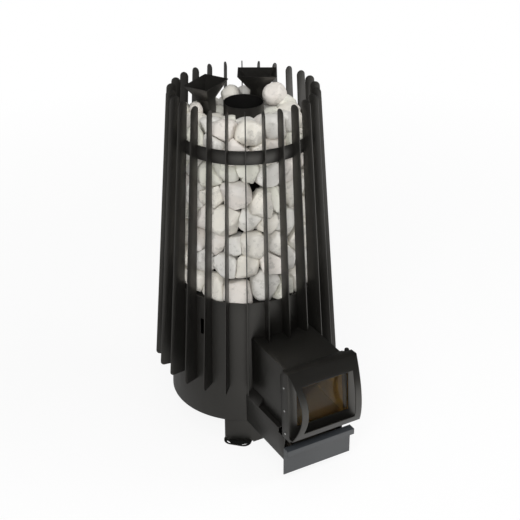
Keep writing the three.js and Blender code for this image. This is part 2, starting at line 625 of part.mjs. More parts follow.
// Bow: a sheet bent forward over the leaf, fixed on its top and at its foot, with waisted sides
// and its own window. It is the door's ornament and its handle.
function doorBow() {
  const middle = (BOW_BOTTOM + LEAF_TOP) / 2;
  const crest = (BOW_FOOT_REACH + BOW_HEAD_REACH) / 2 + 2 * BOW_SAG;
  const under = LEAF_TOP + GAP;
  const profile = new THREE.Shape();
  profile.moveTo(LEAF_DEPTH - LEAF_CHAMFER, under + SHEET);
  profile.lineTo(-BOW_HEAD_REACH, under + SHEET);
  profile.quadraticCurveTo(-crest, middle, -BOW_FOOT_REACH, BOW_BOTTOM);
  profile.lineTo(-GAP, BOW_BOTTOM);
  profile.lineTo(-GAP, BOW_BOTTOM + SHEET);
  profile.lineTo(SHEET - BOW_FOOT_REACH, BOW_BOTTOM + SHEET);
  profile.quadraticCurveTo(SHEET - crest, middle, 0, under);
  profile.lineTo(LEAF_DEPTH - LEAF_CHAMFER, under);
  const sheet = plateAcrossX(profile, [-LEAF_HALF, LEAF_HALF], 14);

  const face = new THREE.Shape();
  const waist = LEAF_HALF - 2 * BOW_WAIST;
  const side = LEAF_HALF + PAST;
  const foot = BOW_BOTTOM - PAST;
  const head = LEAF_TOP + 2 * SHEET;
  const shoulder = LEAF_TOP - SHEET;
  face.moveTo(-side, foot);
  face.lineTo(side, foot);
  face.quadraticCurveTo(waist, middle, side, shoulder);
  face.lineTo(side, head);
  face.lineTo(-side, head);
  face.lineTo(-side, shoulder);
  face.quadraticCurveTo(-waist, middle, -side, foot);
  const window = new THREE.Path();
  const windowWaist = BOW_WINDOW_HALF - 2 * BOW_WINDOW_WAIST;
  window.moveTo(-BOW_WINDOW_HALF, BOW_WINDOW_BOTTOM);
  window.lineTo(BOW_WINDOW_HALF, BOW_WINDOW_BOTTOM);
  window.quadraticCurveTo(windowWaist, middle, BOW_WINDOW_HALF, BOW_WINDOW_TOP);
  window.lineTo(-BOW_WINDOW_HALF, BOW_WINDOW_TOP);
  window.quadraticCurveTo(-windowWaist, middle, -BOW_WINDOW_HALF, BOW_WINDOW_BOTTOM);
  face.holes.push(window);
  return sheet.intersect(plateAcrossY(face, [-crest, LEAF_DEPTH], 8));
}
addPiece(doorway, 'door_bow', doorBow(), BLACK_PAINT);

// Ash drawer: an open tray that runs on the channel's floor under the grate,
// and a front plate whose top edge is folded to a handle
function ashTray() {
  const floor = ASH_BOTTOM + SHEET + GAP;
  const front = -DRAWER_FRONT_REACH + SHEET + GAP;
  const inside = DRAWER_HALF - THIN_SHEET;
  const outer = block([-DRAWER_HALF, DRAWER_HALF], [front, DRAWER_BACK], [floor, DRAWER_TOP]);
  const hollow = block([-inside, inside], [front + THIN_SHEET, DRAWER_BACK - THIN_SHEET],
    [floor + THIN_SHEET, DRAWER_TOP + PAST]);
  return cut(outer, hollow);
}
function drawerFront() {
  const profile = polygon([
    [SHEET - DRAWER_FRONT_REACH, DRAWER_FRONT_BOTTOM],
    [SHEET - DRAWER_FRONT_REACH, DRAWER_FRONT_TOP],
    [-DRAWER_LIP_REACH, DRAWER_FRONT_TOP],
    [-DRAWER_LIP_REACH, DRAWER_LIP_BOTTOM],
    [SHEET - DRAWER_LIP_REACH, DRAWER_LIP_BOTTOM],
    [SHEET - DRAWER_LIP_REACH, DRAWER_FRONT_TOP - SHEET],
    [-DRAWER_FRONT_REACH, DRAWER_FRONT_TOP - SHEET],
    [-DRAWER_FRONT_REACH, DRAWER_FRONT_BOTTOM],
  ]);
  return plateAcrossX(profile, [-DRAWER_FRONT_HALF, DRAWER_FRONT_HALF]);
}
addPiece(stove, 'ash_tray', ashTray(), BARE_STEEL);
addPiece(stove, 'ash_drawer_front', drawerFront(), GREY_PAINT);

// Water funnels: a pyramid of sheet over a square neck, open from rim to foot, one on each side
function funnelBody(inset, neckBottom) {
  const depth = FUNNEL_RIM - FUNNEL_NECK_TOP;
  const hopper = new THREE.BoxGeometry(FUNNEL_LENGTH - 2 * inset, FUNNEL_WIDTH - 2 * inset, depth);
  const corners = hopper.attributes.position;
  const necked = new THREE.Vector2(
    (FUNNEL_NECK_LENGTH - 2 * inset) / (FUNNEL_LENGTH - 2 * inset),
    (FUNNEL_NECK_WIDTH - 2 * inset) / (FUNNEL_WIDTH - 2 * inset),
  );
  for (let i = 0; i < corners.count; i += 1) {
    if (corners.getZ(i) > 0) continue;
    corners.setXY(i, corners.getX(i) * necked.x, corners.getY(i) * necked.y);
  }
  hopper.translate(0, 0, FUNNEL_NECK_TOP + depth / 2);
  const halfLength = FUNNEL_NECK_LENGTH / 2 - inset;
  const halfWidth = FUNNEL_NECK_WIDTH / 2 - inset;
  const neck = block([-halfLength, halfLength], [-halfWidth, halfWidth],
    [neckBottom, FUNNEL_NECK_TOP + PAST]);
  return joined(solidOf(hopper), neck);
}
const funnelPlaces = [['left', -1], ['right', 1]].map(([name, side]) => ({
  name,
  position: new THREE.Vector3(side * FUNNEL_X, FUNNEL_Y, 0),
  turn: -side * degToRad(FUNNEL_TURN),
}));
for (const { name, position, turn } of funnelPlaces) {
  const inside = funnelBody(THIN_SHEET, FUNNEL_NECK_BOTTOM - PAST);
  const body = funnelBody(0, FUNNEL_NECK_BOTTOM).subtract(inside);
  const funnel = addPiece(stove, `funnel_${name}`, body, BLACK_PAINT);
  funnel.position.copy(position);
  funnel.rotation.z = turn;
}

// Stones: each course is one ring of rocks that touch, because loose rocks are too many to hold apart.
// Every rock is a six-sided cell whose face stands out from the joints round it.
const scatter = (seed) => {
  const wave = Math.sin(seed * 12.9898) * 43758.5453;
  return wave - Math.floor(wave) - 0.5;
};
const stoneCore = turned([
  [0, DRUM_BOTTOM],
  [FIREBOX_RADIUS + ROOM, DRUM_BOTTOM],
  [FIREBOX_RADIUS + ROOM, FIREBOX_TOP + 2 * ROOM],
  [socket + ROOM, FLUE_BOTTOM + 3 * ROOM],
  [socket + ROOM, NECK_TOP + ROOM],
  [FLUE_RADIUS + ROOM, NECK_TOP + ROOM],
  [FLUE_RADIUS + ROOM, FIN_TOP],
  [0, FIN_TOP],
], FIREBOX_FACETS);
const funnelBlanks = funnelPlaces.map(({ position, turn }) => {
  const blank = funnelBody(-ROOM, FUNNEL_NECK_BOTTOM - ROOM);
  return blank.rotate([0, 0, radToDeg(turn)]).translate(position.toArray());
});

function stoneCourse([bottom, top], rows, seed) {
  const half = 2 * STONE_COLUMNS;
  const pitch = (top - bottom) / rows;
  const step = (2 * Math.PI) / half;
  const jointPoint = (row, column) => {
    const key = seed + row * half + (column % half);
    const edge = row === 0 || row === rows;
    const zigzag = (row + column) % 2 === 0 ? -pitch / 6 : pitch / 6;
    const height = bottom + row * pitch + (edge ? 0 : zigzag + scatter(key) * pitch * STONE_HEIGHT_WANDER);
    return { angle: (column + STONE_ANGLE_WANDER * scatter(key + 0.5)) * step, height };
  };
  const toPoint = ({ angle, height }, depth) => {
    const radius = cageRadius(height) - ROOM - depth;
    return [radius * Math.sin(angle), -radius * Math.cos(angle), height];
  };
  const triangles = [];
  const fan = (centre, ring) => ring.forEach((point, n) => {
    triangles.push(centre, point, ring[(n + 1) % ring.length]);
  });
  for (let row = 0; row < rows; row += 1) {
    for (let column = row % 2; column < half; column += 2) {
      const below = [-1, 0, 1].map((n) => jointPoint(row, column + half + n));
      const above = [1, 0, -1].map((n) => jointPoint(row + 1, column + half + n));
      const joint = [...below, ...above];
      const middle = { angle: 0, height: 0 };
      joint.forEach((point) => {
        middle.angle += point.angle / joint.length;
        middle.height += point.height / joint.length;
      });
      const lean = STONE_LEAN * scatter(seed + 7.3 * row + 3.1 * column);
      const face = joint.map((point) => ({
        angle: mapLinear(STONE_FACE_SHARE, 0, 1, middle.angle, point.angle),
        height: mapLinear(STONE_FACE_SHARE, 0, 1, middle.height, point.height),
      })).map((point) => toPoint(point, STONE_FACE_DEPTH + lean));
      const rim = joint.map((point) => toPoint(point, STONE_JOINT_DEPTH));
      face.forEach((point, n) => {
        const next = (n + 1) % face.length;
        triangles.push(rim[n], rim[next], face[next], rim[n], face[next], point);
      });
      fan(toPoint(middle, STONE_CROWN_DEPTH + lean), face);
    }
  }
  for (const row of [0, rows]) {
    const ring = [...Array(half).keys()].map((n) => toPoint(jointPoint(row, n), STONE_JOINT_DEPTH));
    fan([0, 0, row === 0 ? bottom : top], row === 0 ? ring.reverse() : ring);
  }
  const geometry = new THREE.BufferGeometry();
  geometry.setAttribute('position', new THREE.BufferAttribute(new Float32Array(triangles.flat()), 3));
  return cut(solidOf(geometry), stoneCore, ...funnelBlanks);
}
const lowerCourse = stoneCourse([STONE_SHELF_TOP + GAP, STONE_SPLIT], STONE_ROWS_LOWER, 11);
addPiece(stove, 'stones_lower', lowerCourse, PALE_STONE);
const upperCourse = stoneCourse([STONE_SPLIT + GAP, STONE_HEAP_FOOT], STONE_ROWS_UPPER, 523);
addPiece(stove, 'stones_upper', upperCourse, PALE_STONE);

// The heap on top: two rings of rocks bedded in their own rubble, round the flue and the funnels' necks
function stoneHeap() {
  const bed = cageRadius(STONE_HEAP_FOOT) - STONE_JOINT_DEPTH;
  const foot = STONE_HEAP_FOOT + GAP;
  const rubble = turned([[0, foot], [bed, foot], [bed, HEAP_BED_TOP], [0, HEAP_BED_TOP]], DRUM_FACETS);
  const rocks = HEAP_RINGS.flatMap(({ count, radius, size, height }) =>
    [...Array(count).keys()].map((n) => {
      const key = count * 31 + n;
      const rock = new THREE.IcosahedronGeometry(1, 0).scale(...size);
      rock.rotateX(scatter(key)).rotateY(scatter(key + 0.3));
      rock.translate(radius, 0, height + HEAP_WANDER * scatter(key + 0.6));
      return solidOf(rock.rotateZ((n / count) * 2 * Math.PI));
    }));
  const under = block([-bed, bed], [-bed, bed], [0, foot]);
  return cut(joined(rubble, ...rocks), stoneCore, under, ...funnelBlanks);
}
addPiece(stove, 'stones_top', stoneHeap(), PALE_STONE);

// The origin lies under the middle of the stove, on the floor
const extent = new THREE.Box3().setFromObject(stove);
stove.position.y = -(extent.min.y + extent.max.y) / 2;

export default stove;
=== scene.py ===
import math
import random

import bmesh
import bpy
from mathutils import Matrix, Vector, noise


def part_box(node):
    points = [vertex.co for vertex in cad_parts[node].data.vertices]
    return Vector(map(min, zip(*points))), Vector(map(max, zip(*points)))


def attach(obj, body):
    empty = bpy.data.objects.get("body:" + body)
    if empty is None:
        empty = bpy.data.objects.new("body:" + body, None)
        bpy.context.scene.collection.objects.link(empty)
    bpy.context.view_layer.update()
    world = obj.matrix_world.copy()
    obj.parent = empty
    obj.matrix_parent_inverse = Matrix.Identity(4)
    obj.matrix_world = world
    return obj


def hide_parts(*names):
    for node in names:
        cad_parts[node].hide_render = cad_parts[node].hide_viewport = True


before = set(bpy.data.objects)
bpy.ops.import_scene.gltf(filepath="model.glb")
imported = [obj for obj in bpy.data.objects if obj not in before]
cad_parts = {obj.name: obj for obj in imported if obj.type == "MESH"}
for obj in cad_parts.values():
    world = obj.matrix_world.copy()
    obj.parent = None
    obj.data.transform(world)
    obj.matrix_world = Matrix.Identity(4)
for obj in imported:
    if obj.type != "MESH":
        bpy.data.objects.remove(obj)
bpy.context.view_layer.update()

# Foot plates: thick plates under the legs with round front corners and two slots for floor anchors.
# They are sprayed a glossier black than the casing. Sizes are in millimetres from the drum's axis.
MM = 0.001
BODY = "stove"
band_low, band_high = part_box("cage_band")
AXIS = Vector(((band_low[0] + band_high[0]) / 2, (band_low[1] + band_high[1]) / 2, 0))
FIN_COUNT = 26
DRUM_FOOT_RADIUS = 233
LEG_DEPTH = 48
LEG_HALF_ANGLE = math.radians(10.8)
LEG_BAYS = {"front_left": -2.5, "front_right": 2.5, "rear_left": -10.5, "rear_right": 10.5}
FOOT_THICKNESS = 4
FOOT_RADIUS = 231
FOOT_SHIFT = 5.5
FOOT_TURN = math.radians(10)
FOOT_HALF = 42.5
FOOT_OUT = 20.5
FOOT_BACK = 46
FOOT_CORNER = 24
ANCHOR_OUT = 11.5
ANCHOR_SPREAD = 25
ANCHOR_TURN = math.radians(124)
ANCHOR_LENGTH = 11
ANCHOR_RADIUS = 3.2
ANCHOR_SEGMENTS = 20
SHARP_FROM = math.radians(40)


class Shade:
    """A shader socket that arithmetic works on: each operation adds its Math node."""

    def __init__(self, tree, socket=None):
        self.tree = tree
        self.socket = socket

    def node(self, kind, settings, inputs, output=0):
        made = self.tree.nodes.new(kind)
        for name, value in settings.items():
            if name == "stops":
                self.set_stops(made.color_ramp, value)
            else:
                setattr(made, name, value)
        for name, value in inputs.items():
            if isinstance(value, Shade):
                self.tree.links.new(value.socket, made.inputs[name])
            else:
                made.inputs[name].default_value = value
        return Shade(self.tree, made.outputs[output])

    def set_stops(self, ramp, stops):
        while len(ramp.elements) < len(stops):
            ramp.elements.new(1.0)
        for element, (position, level) in zip(ramp.elements, stops):
            element.position = position
            element.color = (level, level, level, 1.0)

    def maths(self, operation, first, second):
        return self.node("ShaderNodeMath", {"operation": operation}, {0: first, 1: second})

    def __add__(self, other):
        return self.maths("ADD", self, other)

    def __radd__(self, other):
        return self.maths("ADD", other, self)

    def __sub__(self, other):
        return self.maths("SUBTRACT", self, other)

    def __rsub__(self, other):
        return self.maths("SUBTRACT", other, self)

    def __mul__(self, other):
        return self.maths("MULTIPLY", self, other)

    def __rmul__(self, other):
        return self.maths("MULTIPLY", other, self)

    def grain(self, scale, detail=3.0, roughness=0.55):
        sockets = {"Vector": self, "Scale": scale, "Detail": detail, "Roughness": roughness}
        return self.node("ShaderNodeTexNoise", {}, sockets)

    def between(self, low, high):
        return self.node("ShaderNodeValToRGB", {"stops": ((low, 0.0), (high, 1.0))}, {"Fac": self})

    def blend(self, first, second):
        return self.node("ShaderNodeMix", {"data_type": "RGBA"}, {0: self, 6: first, 7: second}, 2)

    def feeds(self, shader, name):
        self.tree.links.new(self.socket, shader.inputs[name])


def new_finish(name, constants):
    finish = bpy.data.materials.new(name)
    finish.use_nodes = True
    tree = finish.node_tree
    shader = tree.nodes["Principled BSDF"]
    for socket, value in constants.items():
        shader.inputs[socket].default_value = value
    return finish, shader, Shade(tree).node("ShaderNodeTexCoord", {}, {}, "Object")


def bump(shader, height, strength, distance):
    sockets = {"Strength": strength, "Distance": distance, "Height": height}
    height.node("ShaderNodeBump", {}, sockets).feeds(shader, "Normal")


def sprayed_paint(name, dark, light, roughness, specular):
    gloss = {"Specular IOR Level": specular, "IOR": 1.55, "Specular Tint": (1.0, 0.97, 0.91, 1.0)}
    finish, shader, at = new_finish(name, gloss)
    cloud = at.grain(5.0, 4.0, 0.6)
    dust = at.grain(38.0, 5.0, 0.7)
    peel = at.grain(900.0, 2.0)
    shade = cloud.between(0.3, 0.75) * 0.6 + dust.between(0.35, 0.7) * 0.4
    shade.blend((*dark, 1.0), (*light, 1.0)).feeds(shader, "Base Color")
    (roughness + dust * 0.12 - cloud * 0.06).feeds(shader, "Roughness")
    bump(shader, peel, 0.14, 0.0006)
    return finish


FOOT_PAINT = sprayed_paint("foot_gloss", (0.008, 0.009, 0.008), (0.016, 0.017, 0.016), 0.22, 0.5)


def bay_angle(bay):
    return bay / FIN_COUNT * 2 * math.pi - math.pi / 2


def new_points(geometry):
    return [item for item in geometry if isinstance(item, bmesh.types.BMVert)]


def ring_of(shape, points):
    corners = [shape.verts.new(point) for point in points]
    return [shape.edges.new(pair) for pair in zip(corners, corners[1:] + corners[:1])]


def fill_plate(shape, depth):
    bmesh.ops.triangle_fill(shape, use_beauty=True, edges=shape.edges[:])
    bmesh.ops.dissolve_limit(shape, angle_limit=0.02, verts=shape.verts[:], edges=shape.edges[:])
    raised = bmesh.ops.extrude_face_region(shape, geom=shape.faces[:])["geom"]
    bmesh.ops.translate(shape, vec=depth, verts=new_points(raised))


def ease_edges(shape, width, segments=2):
    bmesh.ops.recalc_face_normals(shape, faces=shape.faces[:])
    sharp = []
    for edge in shape.edges:
        if len(edge.link_faces) == 2 and edge.calc_face_angle() > SHARP_FROM:
            sharp.append(edge)
    bmesh.ops.bevel(shape, geom=sharp, offset=width, offset_type="OFFSET", affect="EDGES",
                    segments=segments, profile=0.5, material=-1, clamp_overlap=True)


def make_piece(name, shape, finishes, slot, nodes=(), body=BODY, place=Matrix(), crease=35):
    bmesh.ops.remove_doubles(shape, verts=shape.verts[:], dist=0.01)
    bmesh.ops.recalc_face_normals(shape, faces=shape.faces[:])
    into_frame = Matrix.Translation(AXIS) @ Matrix.Scale(MM, 4) @ place
    bmesh.ops.transform(shape, matrix=into_frame, verts=shape.verts[:])
    mesh = bpy.data.meshes.new(name)
    shape.to_mesh(mesh)
    shape.free()
    for finish in finishes:
        mesh.materials.append(finish)
    mesh.shade_smooth()
    mesh.set_sharp_from_angle(angle=math.radians(crease))
    piece = bpy.data.objects.new(name, mesh)
    bpy.context.collection.objects.link(piece)
    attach(piece, body)
    if nodes:
        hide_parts(*nodes)
    return piece


def outer_side(bay):
    """Which way along its ring a leg faces away from the middle of the stove: -1 or 1."""
    return math.copysign(1, bay if abs(bay) < FIN_COUNT / 4 else -bay)


def foot_shape():
    shape = bmesh.new()
    outline = ((-FOOT_BACK, -FOOT_HALF), (FOOT_OUT, -FOOT_HALF),
               (FOOT_OUT, FOOT_HALF), (-FOOT_BACK, FOOT_HALF))
    corners = [shape.verts.new((x, y, 0)) for x, y in outline]
    shape.faces.new(corners)
    bmesh.ops.bevel(shape, geom=corners[1:3], offset=FOOT_CORNER, offset_type="OFFSET", affect="VERTICES",
                    segments=8, profile=0.5, material=-1)
    bmesh.ops.delete(shape, geom=shape.faces[:], context="FACES_ONLY")
    for side in (-1, 1):
        half_step = Matrix.Rotation(math.pi / ANCHOR_SEGMENTS, 4, "Z")
        slot = bmesh.ops.create_circle(shape, segments=ANCHOR_SEGMENTS, radius=ANCHOR_RADIUS,
                                       matrix=half_step)["verts"]
        for vert in slot:
            vert.co.x += math.copysign(ANCHOR_LENGTH / 2, vert.co.x)
        turn = Matrix.Rotation(side * ANCHOR_TURN, 4, "Z")
        stand = Matrix.Translation((ANCHOR_OUT, side * ANCHOR_SPREAD, 0)) @ turn
        bmesh.ops.transform(shape, matrix=stand, verts=slot)
    fill_plate(shape, (0, 0, FOOT_THICKNESS))
    ease_edges(shape, 0.6)
    return shape


for place, bay in LEG_BAYS.items():
    outer = outer_side(bay)
    stand = Matrix.Rotation(bay_angle(bay), 4, "Z") @ Matrix.Translation((FOOT_RADIUS, outer * FOOT_SHIFT, 0))
    stand = stand @ Matrix.Rotation(outer * FOOT_TURN, 4, "Z")
    make_piece(f"foot_plate_{place}", foot_shape(), [FOOT_PAINT], "foot_black", [f"foot_{place}"],
               place=stand)

# Legs: sheet steel rolled flush with the drum above it. One edge is turned inwards, and the edge nearer the
# middle of the stove is folded flat. They carry the same satin heat-proof black as the whole casing.
SHEET = 3
GAP = 0.3
LEG_TOP = 79
CASING_DARK = (0.0072, 0.0069, 0.0062)
CASING_LIGHT = (0.0122, 0.0116, 0.0104)
CASING_PAINT = sprayed_paint("casing_satin_black", CASING_DARK, CASING_LIGHT, 0.40, 0.95)


def thicken_sheet(shape, gauge, inside):
    bmesh.ops.recalc_face_normals(shape, faces=shape.faces[:])
    middle = Vector(inside)
    lean = sum(face.normal.dot(face.calc_center_median() - middle) * face.calc_area() for face in shape.faces)
    if lean < 0:
        bmesh.ops.reverse_faces(shape, faces=shape.faces[:])
    bmesh.ops.solidify(shape, geom=shape.faces[:], thickness=gauge)


def extrude_edges(shape, edges, step):
    grown = bmesh.ops.extrude_edge_only(shape, edges=edges)["geom"]
    bmesh.ops.translate(shape, vec=step, verts=new_points(grown))
    return grown


def casing_piece(name, shape, node, **more):
    return make_piece(name, shape, [CASING_PAINT], "black_paint", [node], **more)


def leg_shape(bay):
    shape = bmesh.new()
    inner = -outer_side(bay)
    half = inner * LEG_HALF_ANGLE
    foot = Vector((0, 0, FOOT_THICKNESS + GAP))
    edge = Vector((math.cos(half), -math.sin(half), 0))
    corner = shape.verts.new(edge * DRUM_FOOT_RADIUS + foot)
    bmesh.ops.spin(shape, geom=[corner], cent=(0, 0, 0), axis=(0, 0, 1), angle=2 * half, steps=10)
    far = max(shape.verts, key=lambda vert: inner * vert.co.y)
    shape.edges.new((shape.verts.new(edge * (DRUM_FOOT_RADIUS - LEG_DEPTH) + foot), corner))
    turn = bay_angle(bay)
    across = Vector((-abs(math.cos(turn)), inner * abs(math.sin(turn)), 0))
    flange = shape.edges.new((far, shape.verts.new(far.co + across * LEG_DEPTH)))
    extrude_edges(shape, shape.edges[:], (0, 0, LEG_TOP - foot.z))
    extrude_edges(shape, [flange], (0, 0, -FOOT_THICKNESS))
    thicken_sheet(shape, SHEET, (0, 0, LEG_TOP / 2))
    ease_edges(shape, 0.5)
    return shape


for place, bay in LEG_BAYS.items():
    turn = Matrix.Rotation(bay_angle(bay), 4, "Z")
    casing_piece(f"leg_sheet_{place}", leg_shape(bay), f"leg_{place}", place=turn)

# Base plate: a disc of sheet inside the drum's foot that stands on the legs and carries the firebox.
# It is cut away in front for the ash channel, with a round pad left under the firebox.
BASE_BOTTOM = 79.3
BASE_TOP = 82.3
BASE_RADIUS = 228
ASH_HALF = 110.75
FIREBOX_RADIUS = 130


def turned(profile, steps, closed=True):
    shape = bmesh.new()
    points = [shape.verts.new((radius, 0, height)) for radius, height in profile]
    pairs = list(zip(points, points[1:]))
    if closed:
        pairs.append((points[-1], points[0]))
    edges = [shape.edges.new(pair) for pair in pairs]
    bmesh.ops.spin(shape, geom=points + edges, cent=(0, 0, 0), axis=(0, 0, 1), angle=2 * math.pi,
                   steps=steps, use_merge=True)
    bmesh.ops.remove_doubles(shape, verts=shape.verts[:], dist=0.001)
    return shape


def add_arc(shape, radius, side, height, steps, round_back):
    """Draws an arc about the axis between x = -side and x = side, round the back or across the front."""
    start = shape.verts.new((side, -math.sqrt(radius ** 2 - side ** 2), height))
    sweep = (math.pi if round_back else -math.pi) - 2 * math.atan2(start.co.y, side)
    made = bmesh.ops.spin(shape, geom=[start], cent=(0, 0, 0), axis=(0, 0, 1), angle=sweep, steps=steps)
    return start, new_points(made["geom_last"])[0]


base = bmesh.new()
rim = add_arc(base, BASE_RADIUS, ASH_HALF + GAP, BASE_BOTTOM, 88, True)
pad = add_arc(base, FIREBOX_RADIUS, ASH_HALF + GAP, BASE_BOTTOM, 24, False)
for pair in zip(rim, pad):
    base.edges.new(pair)
fill_plate(base, (0, 0, BASE_TOP - BASE_BOTTOM))
ease_edges(base, 0.5)
casing_piece("base_disc", base, "base_plate")

# Drum: the casing, one sheet rolled to a slight cone. The front is cut out for the tunnel and the ash
# channel, and a narrow upright slot in each flank lets air in.
DRUM_BOTTOM = 79.3
DRUM_TOP = 483.8
DRUM_TOP_RADIUS = 220.5
DRUM_STEPS = 156
TUNNEL_HALF = 93.25
TUNNEL_BOTTOM = 173.6
TUNNEL_TOP = 368.7
SLOT_HALF = 6
SLOT_BOTTOM = 361
SLOT_TOP = 412
SLOT_BAY = 4.6


def cut_window(shape, half, low, high, turn=0.0):
    """Cuts a square-cornered way through the -Y side of a rolled sheet, after turning it by an angle."""
    spin = Matrix.Rotation(turn, 3, "Z")
    bmesh.ops.rotate(shape, cent=(0, 0, 0), matrix=spin, verts=shape.verts[:])
    planes = (((-half, 0, 0), (1, 0, 0)), ((half, 0, 0), (1, 0, 0)),
              ((0, 0, low), (0, 0, 1)), ((0, 0, high), (0, 0, 1)))
    for point, normal in planes:
        near = [face for face in shape.faces if face.calc_center_median().y < 0]
        geometry = near + list({edge for face in near for edge in face.edges})
        geometry += list({vert for face in near for vert in face.verts})
        bmesh.ops.bisect_plane(shape, geom=geometry, dist=0.001, plane_co=point, plane_no=normal)
    gone = []
    for face in shape.faces:
        middle = face.calc_center_median()
        if abs(middle.x) < half and middle.y < 0 and low < middle.z < high:
            gone.append(face)
    bmesh.ops.delete(shape, geom=gone, context="FACES")
    bmesh.ops.rotate(shape, cent=(0, 0, 0), matrix=spin.inverted(), verts=shape.verts[:])


drum = turned([(DRUM_FOOT_RADIUS, DRUM_BOTTOM), (DRUM_TOP_RADIUS, DRUM_TOP)], DRUM_STEPS, False)
cut_window(drum, TUNNEL_HALF + GAP, TUNNEL_BOTTOM - GAP, TUNNEL_TOP + GAP)
cut_window(drum, ASH_HALF + GAP, 0, TUNNEL_BOTTOM)
for bay in (-SLOT_BAY, SLOT_BAY):
    cut_window(drum, SLOT_HALF, SLOT_BOTTOM, SLOT_TOP, -bay / FIN_COUNT * 2 * math.pi)
thicken_sheet(drum, SHEET, (0, 0, DRUM_TOP / 2))
ease_edges(drum, 0.5)
casing_piece("drum_casing", drum, "drum")

# Firebox: a thick-walled steel tube welded on the base plate, open in front to the tunnel and, below the
# fire, to the ash channel. Its steel is bare and dark with scale.
FIREBOX_WALL = 5
FIREBOX_BOTTOM = 82.6
FIREBOX_TOP = 640


def hot_steel(name, cool, warm, roughness, metallic):
    finish, shader, at = new_finish(name, {"Metallic": metallic, "Specular IOR Level": 0.4})
    cloud = at.grain(9.0, 5.0, 0.6)
    scale = at.grain(120.0, 4.0, 0.7)
    shade = cloud.between(0.35, 0.7) * 0.7 + scale.between(0.3, 0.8) * 0.3
    shade.blend((*cool, 1.0), (*warm, 1.0)).feeds(shader, "Base Color")
    (roughness + scale * 0.2).feeds(shader, "Roughness")
    bump(shader, scale, 0.2, 0.0008)
    return finish


BARE_STEEL = hot_steel("bare_hot_steel", (0.17, 0.16, 0.15), (0.34, 0.28, 0.21), 0.42, 0.85)
SCALED_STEEL = hot_steel("scaled_steel", (0.020, 0.019, 0.018), (0.036, 0.032, 0.027), 0.7, 0.4)
firebox = turned([(FIREBOX_RADIUS, FIREBOX_BOTTOM), (FIREBOX_RADIUS, FIREBOX_TOP)], 96, False)
cut_window(firebox, TUNNEL_HALF - SHEET, TUNNEL_BOTTOM + SHEET, TUNNEL_TOP - SHEET)
cut_window(firebox, ASH_HALF - SHEET, 0, TUNNEL_BOTTOM - GAP - SHEET)
thicken_sheet(firebox, FIREBOX_WALL, (0, 0, FIREBOX_TOP / 2))
ease_edges(firebox, 0.6)
make_piece("firebox_tube", firebox, [SCALED_STEEL], "bare_steel", ["firebox_shell"])

# Firebox floor and grate: a steel disc with a square way down to the ash drawer, and the slotted
# iron casting that lies over it. The grate's bars show through the door when it is open.
FIRE_FLOOR = 162
FLOOR_HALF_WAY = 72
GRATE_HALF = 82
GRATE_BOTTOM = 167.3
GRATE_HEIGHT = 12
GRATE_SLOTS = 7
IRON = hot_steel("rough_cast_iron", (0.035, 0.032, 0.03), (0.075, 0.06, 0.05), 0.62, 0.6)


def rectangle(half_x, low_y, high_y, height):
    return [(-half_x, low_y, height), (half_x, low_y, height),
            (half_x, high_y, height), (-half_x, high_y, height)]


floor_disc = bmesh.new()
bmesh.ops.create_circle(floor_disc, segments=96, radius=FIREBOX_RADIUS - FIREBOX_WALL - 1,
                        matrix=Matrix.Translation((0, 0, FIRE_FLOOR)))
ring_of(floor_disc, rectangle(FLOOR_HALF_WAY, -FLOOR_HALF_WAY, FLOOR_HALF_WAY, FIRE_FLOOR))
fill_plate(floor_disc, (0, 0, FIREBOX_WALL))
ease_edges(floor_disc, 0.5)
make_piece("firebox_floor_disc", floor_disc, [BARE_STEEL], "bare_steel", ["firebox_floor"])

grate = bmesh.new()
pitch = 2 * GRATE_HALF / (GRATE_SLOTS + 1)
ring_of(grate, rectangle(GRATE_HALF, -GRATE_HALF, GRATE_HALF, GRATE_BOTTOM))
for number in range(GRATE_SLOTS):
    middle = (number - (GRATE_SLOTS - 1) / 2) * pitch
    slot = rectangle(pitch / 4, pitch - GRATE_HALF, GRATE_HALF - pitch, GRATE_BOTTOM)
    ring_of(grate, [(middle + x, y, z) for x, y, z in slot])
fill_plate(grate, (0, 0, GRATE_HEIGHT))
ease_edges(grate, 1.4)
make_piece("fire_grate", grate, [IRON], "cast_iron", ["grate"])

# Crown and flue: the cone that draws the firebox in to a socket, and the open round collar that stands in
# it and takes the chimney pipe. The collar is painted outside and black with soot inside.
CROWN_BOTTOM = 640.3
SOCKET_RADIUS = 59
SOCKET_INNER = 57.8
NECK_TOP = 722
FLUE_RADIUS = 57.5
FLUE_INNER = 55
FLUE_BOTTOM = 699
FLUE_TOP = 1017.6
FLUE_LIP = 0.9
SOOT = sprayed_paint("flue_soot", (0.004, 0.004, 0.004), (0.009, 0.0085, 0.008), 0.85, 0.15)

crown = turned([(FIREBOX_RADIUS, CROWN_BOTTOM), (SOCKET_RADIUS, FLUE_BOTTOM + 1), (SOCKET_RADIUS, NECK_TOP),
                (SOCKET_INNER, NECK_TOP), (SOCKET_INNER, FLUE_BOTTOM - 1),
                (FIREBOX_RADIUS - FIREBOX_WALL, CROWN_BOTTOM)], 96)
make_piece("crown_cone", crown, [SCALED_STEEL], "bare_steel", ["firebox_crown"])

flue = turned([(FLUE_RADIUS, FLUE_BOTTOM), (FLUE_RADIUS, FLUE_TOP - FLUE_LIP),
               (FLUE_RADIUS - FLUE_LIP, FLUE_TOP), (FLUE_INNER + FLUE_LIP, FLUE_TOP),
               (FLUE_INNER, FLUE_TOP - FLUE_LIP), (FLUE_INNER, FLUE_BOTTOM)], 120)
for face in flue.faces:
    middle = face.calc_center_median()
    if middle.xy.length < FLUE_INNER + FLUE_LIP / 2 and middle.z < FLUE_TOP - FLUE_LIP:
        face.material_index = 1
make_piece("flue_collar", flue, [CASING_PAINT, SOOT], "black_paint", ["flue_pipe"], crease=60)

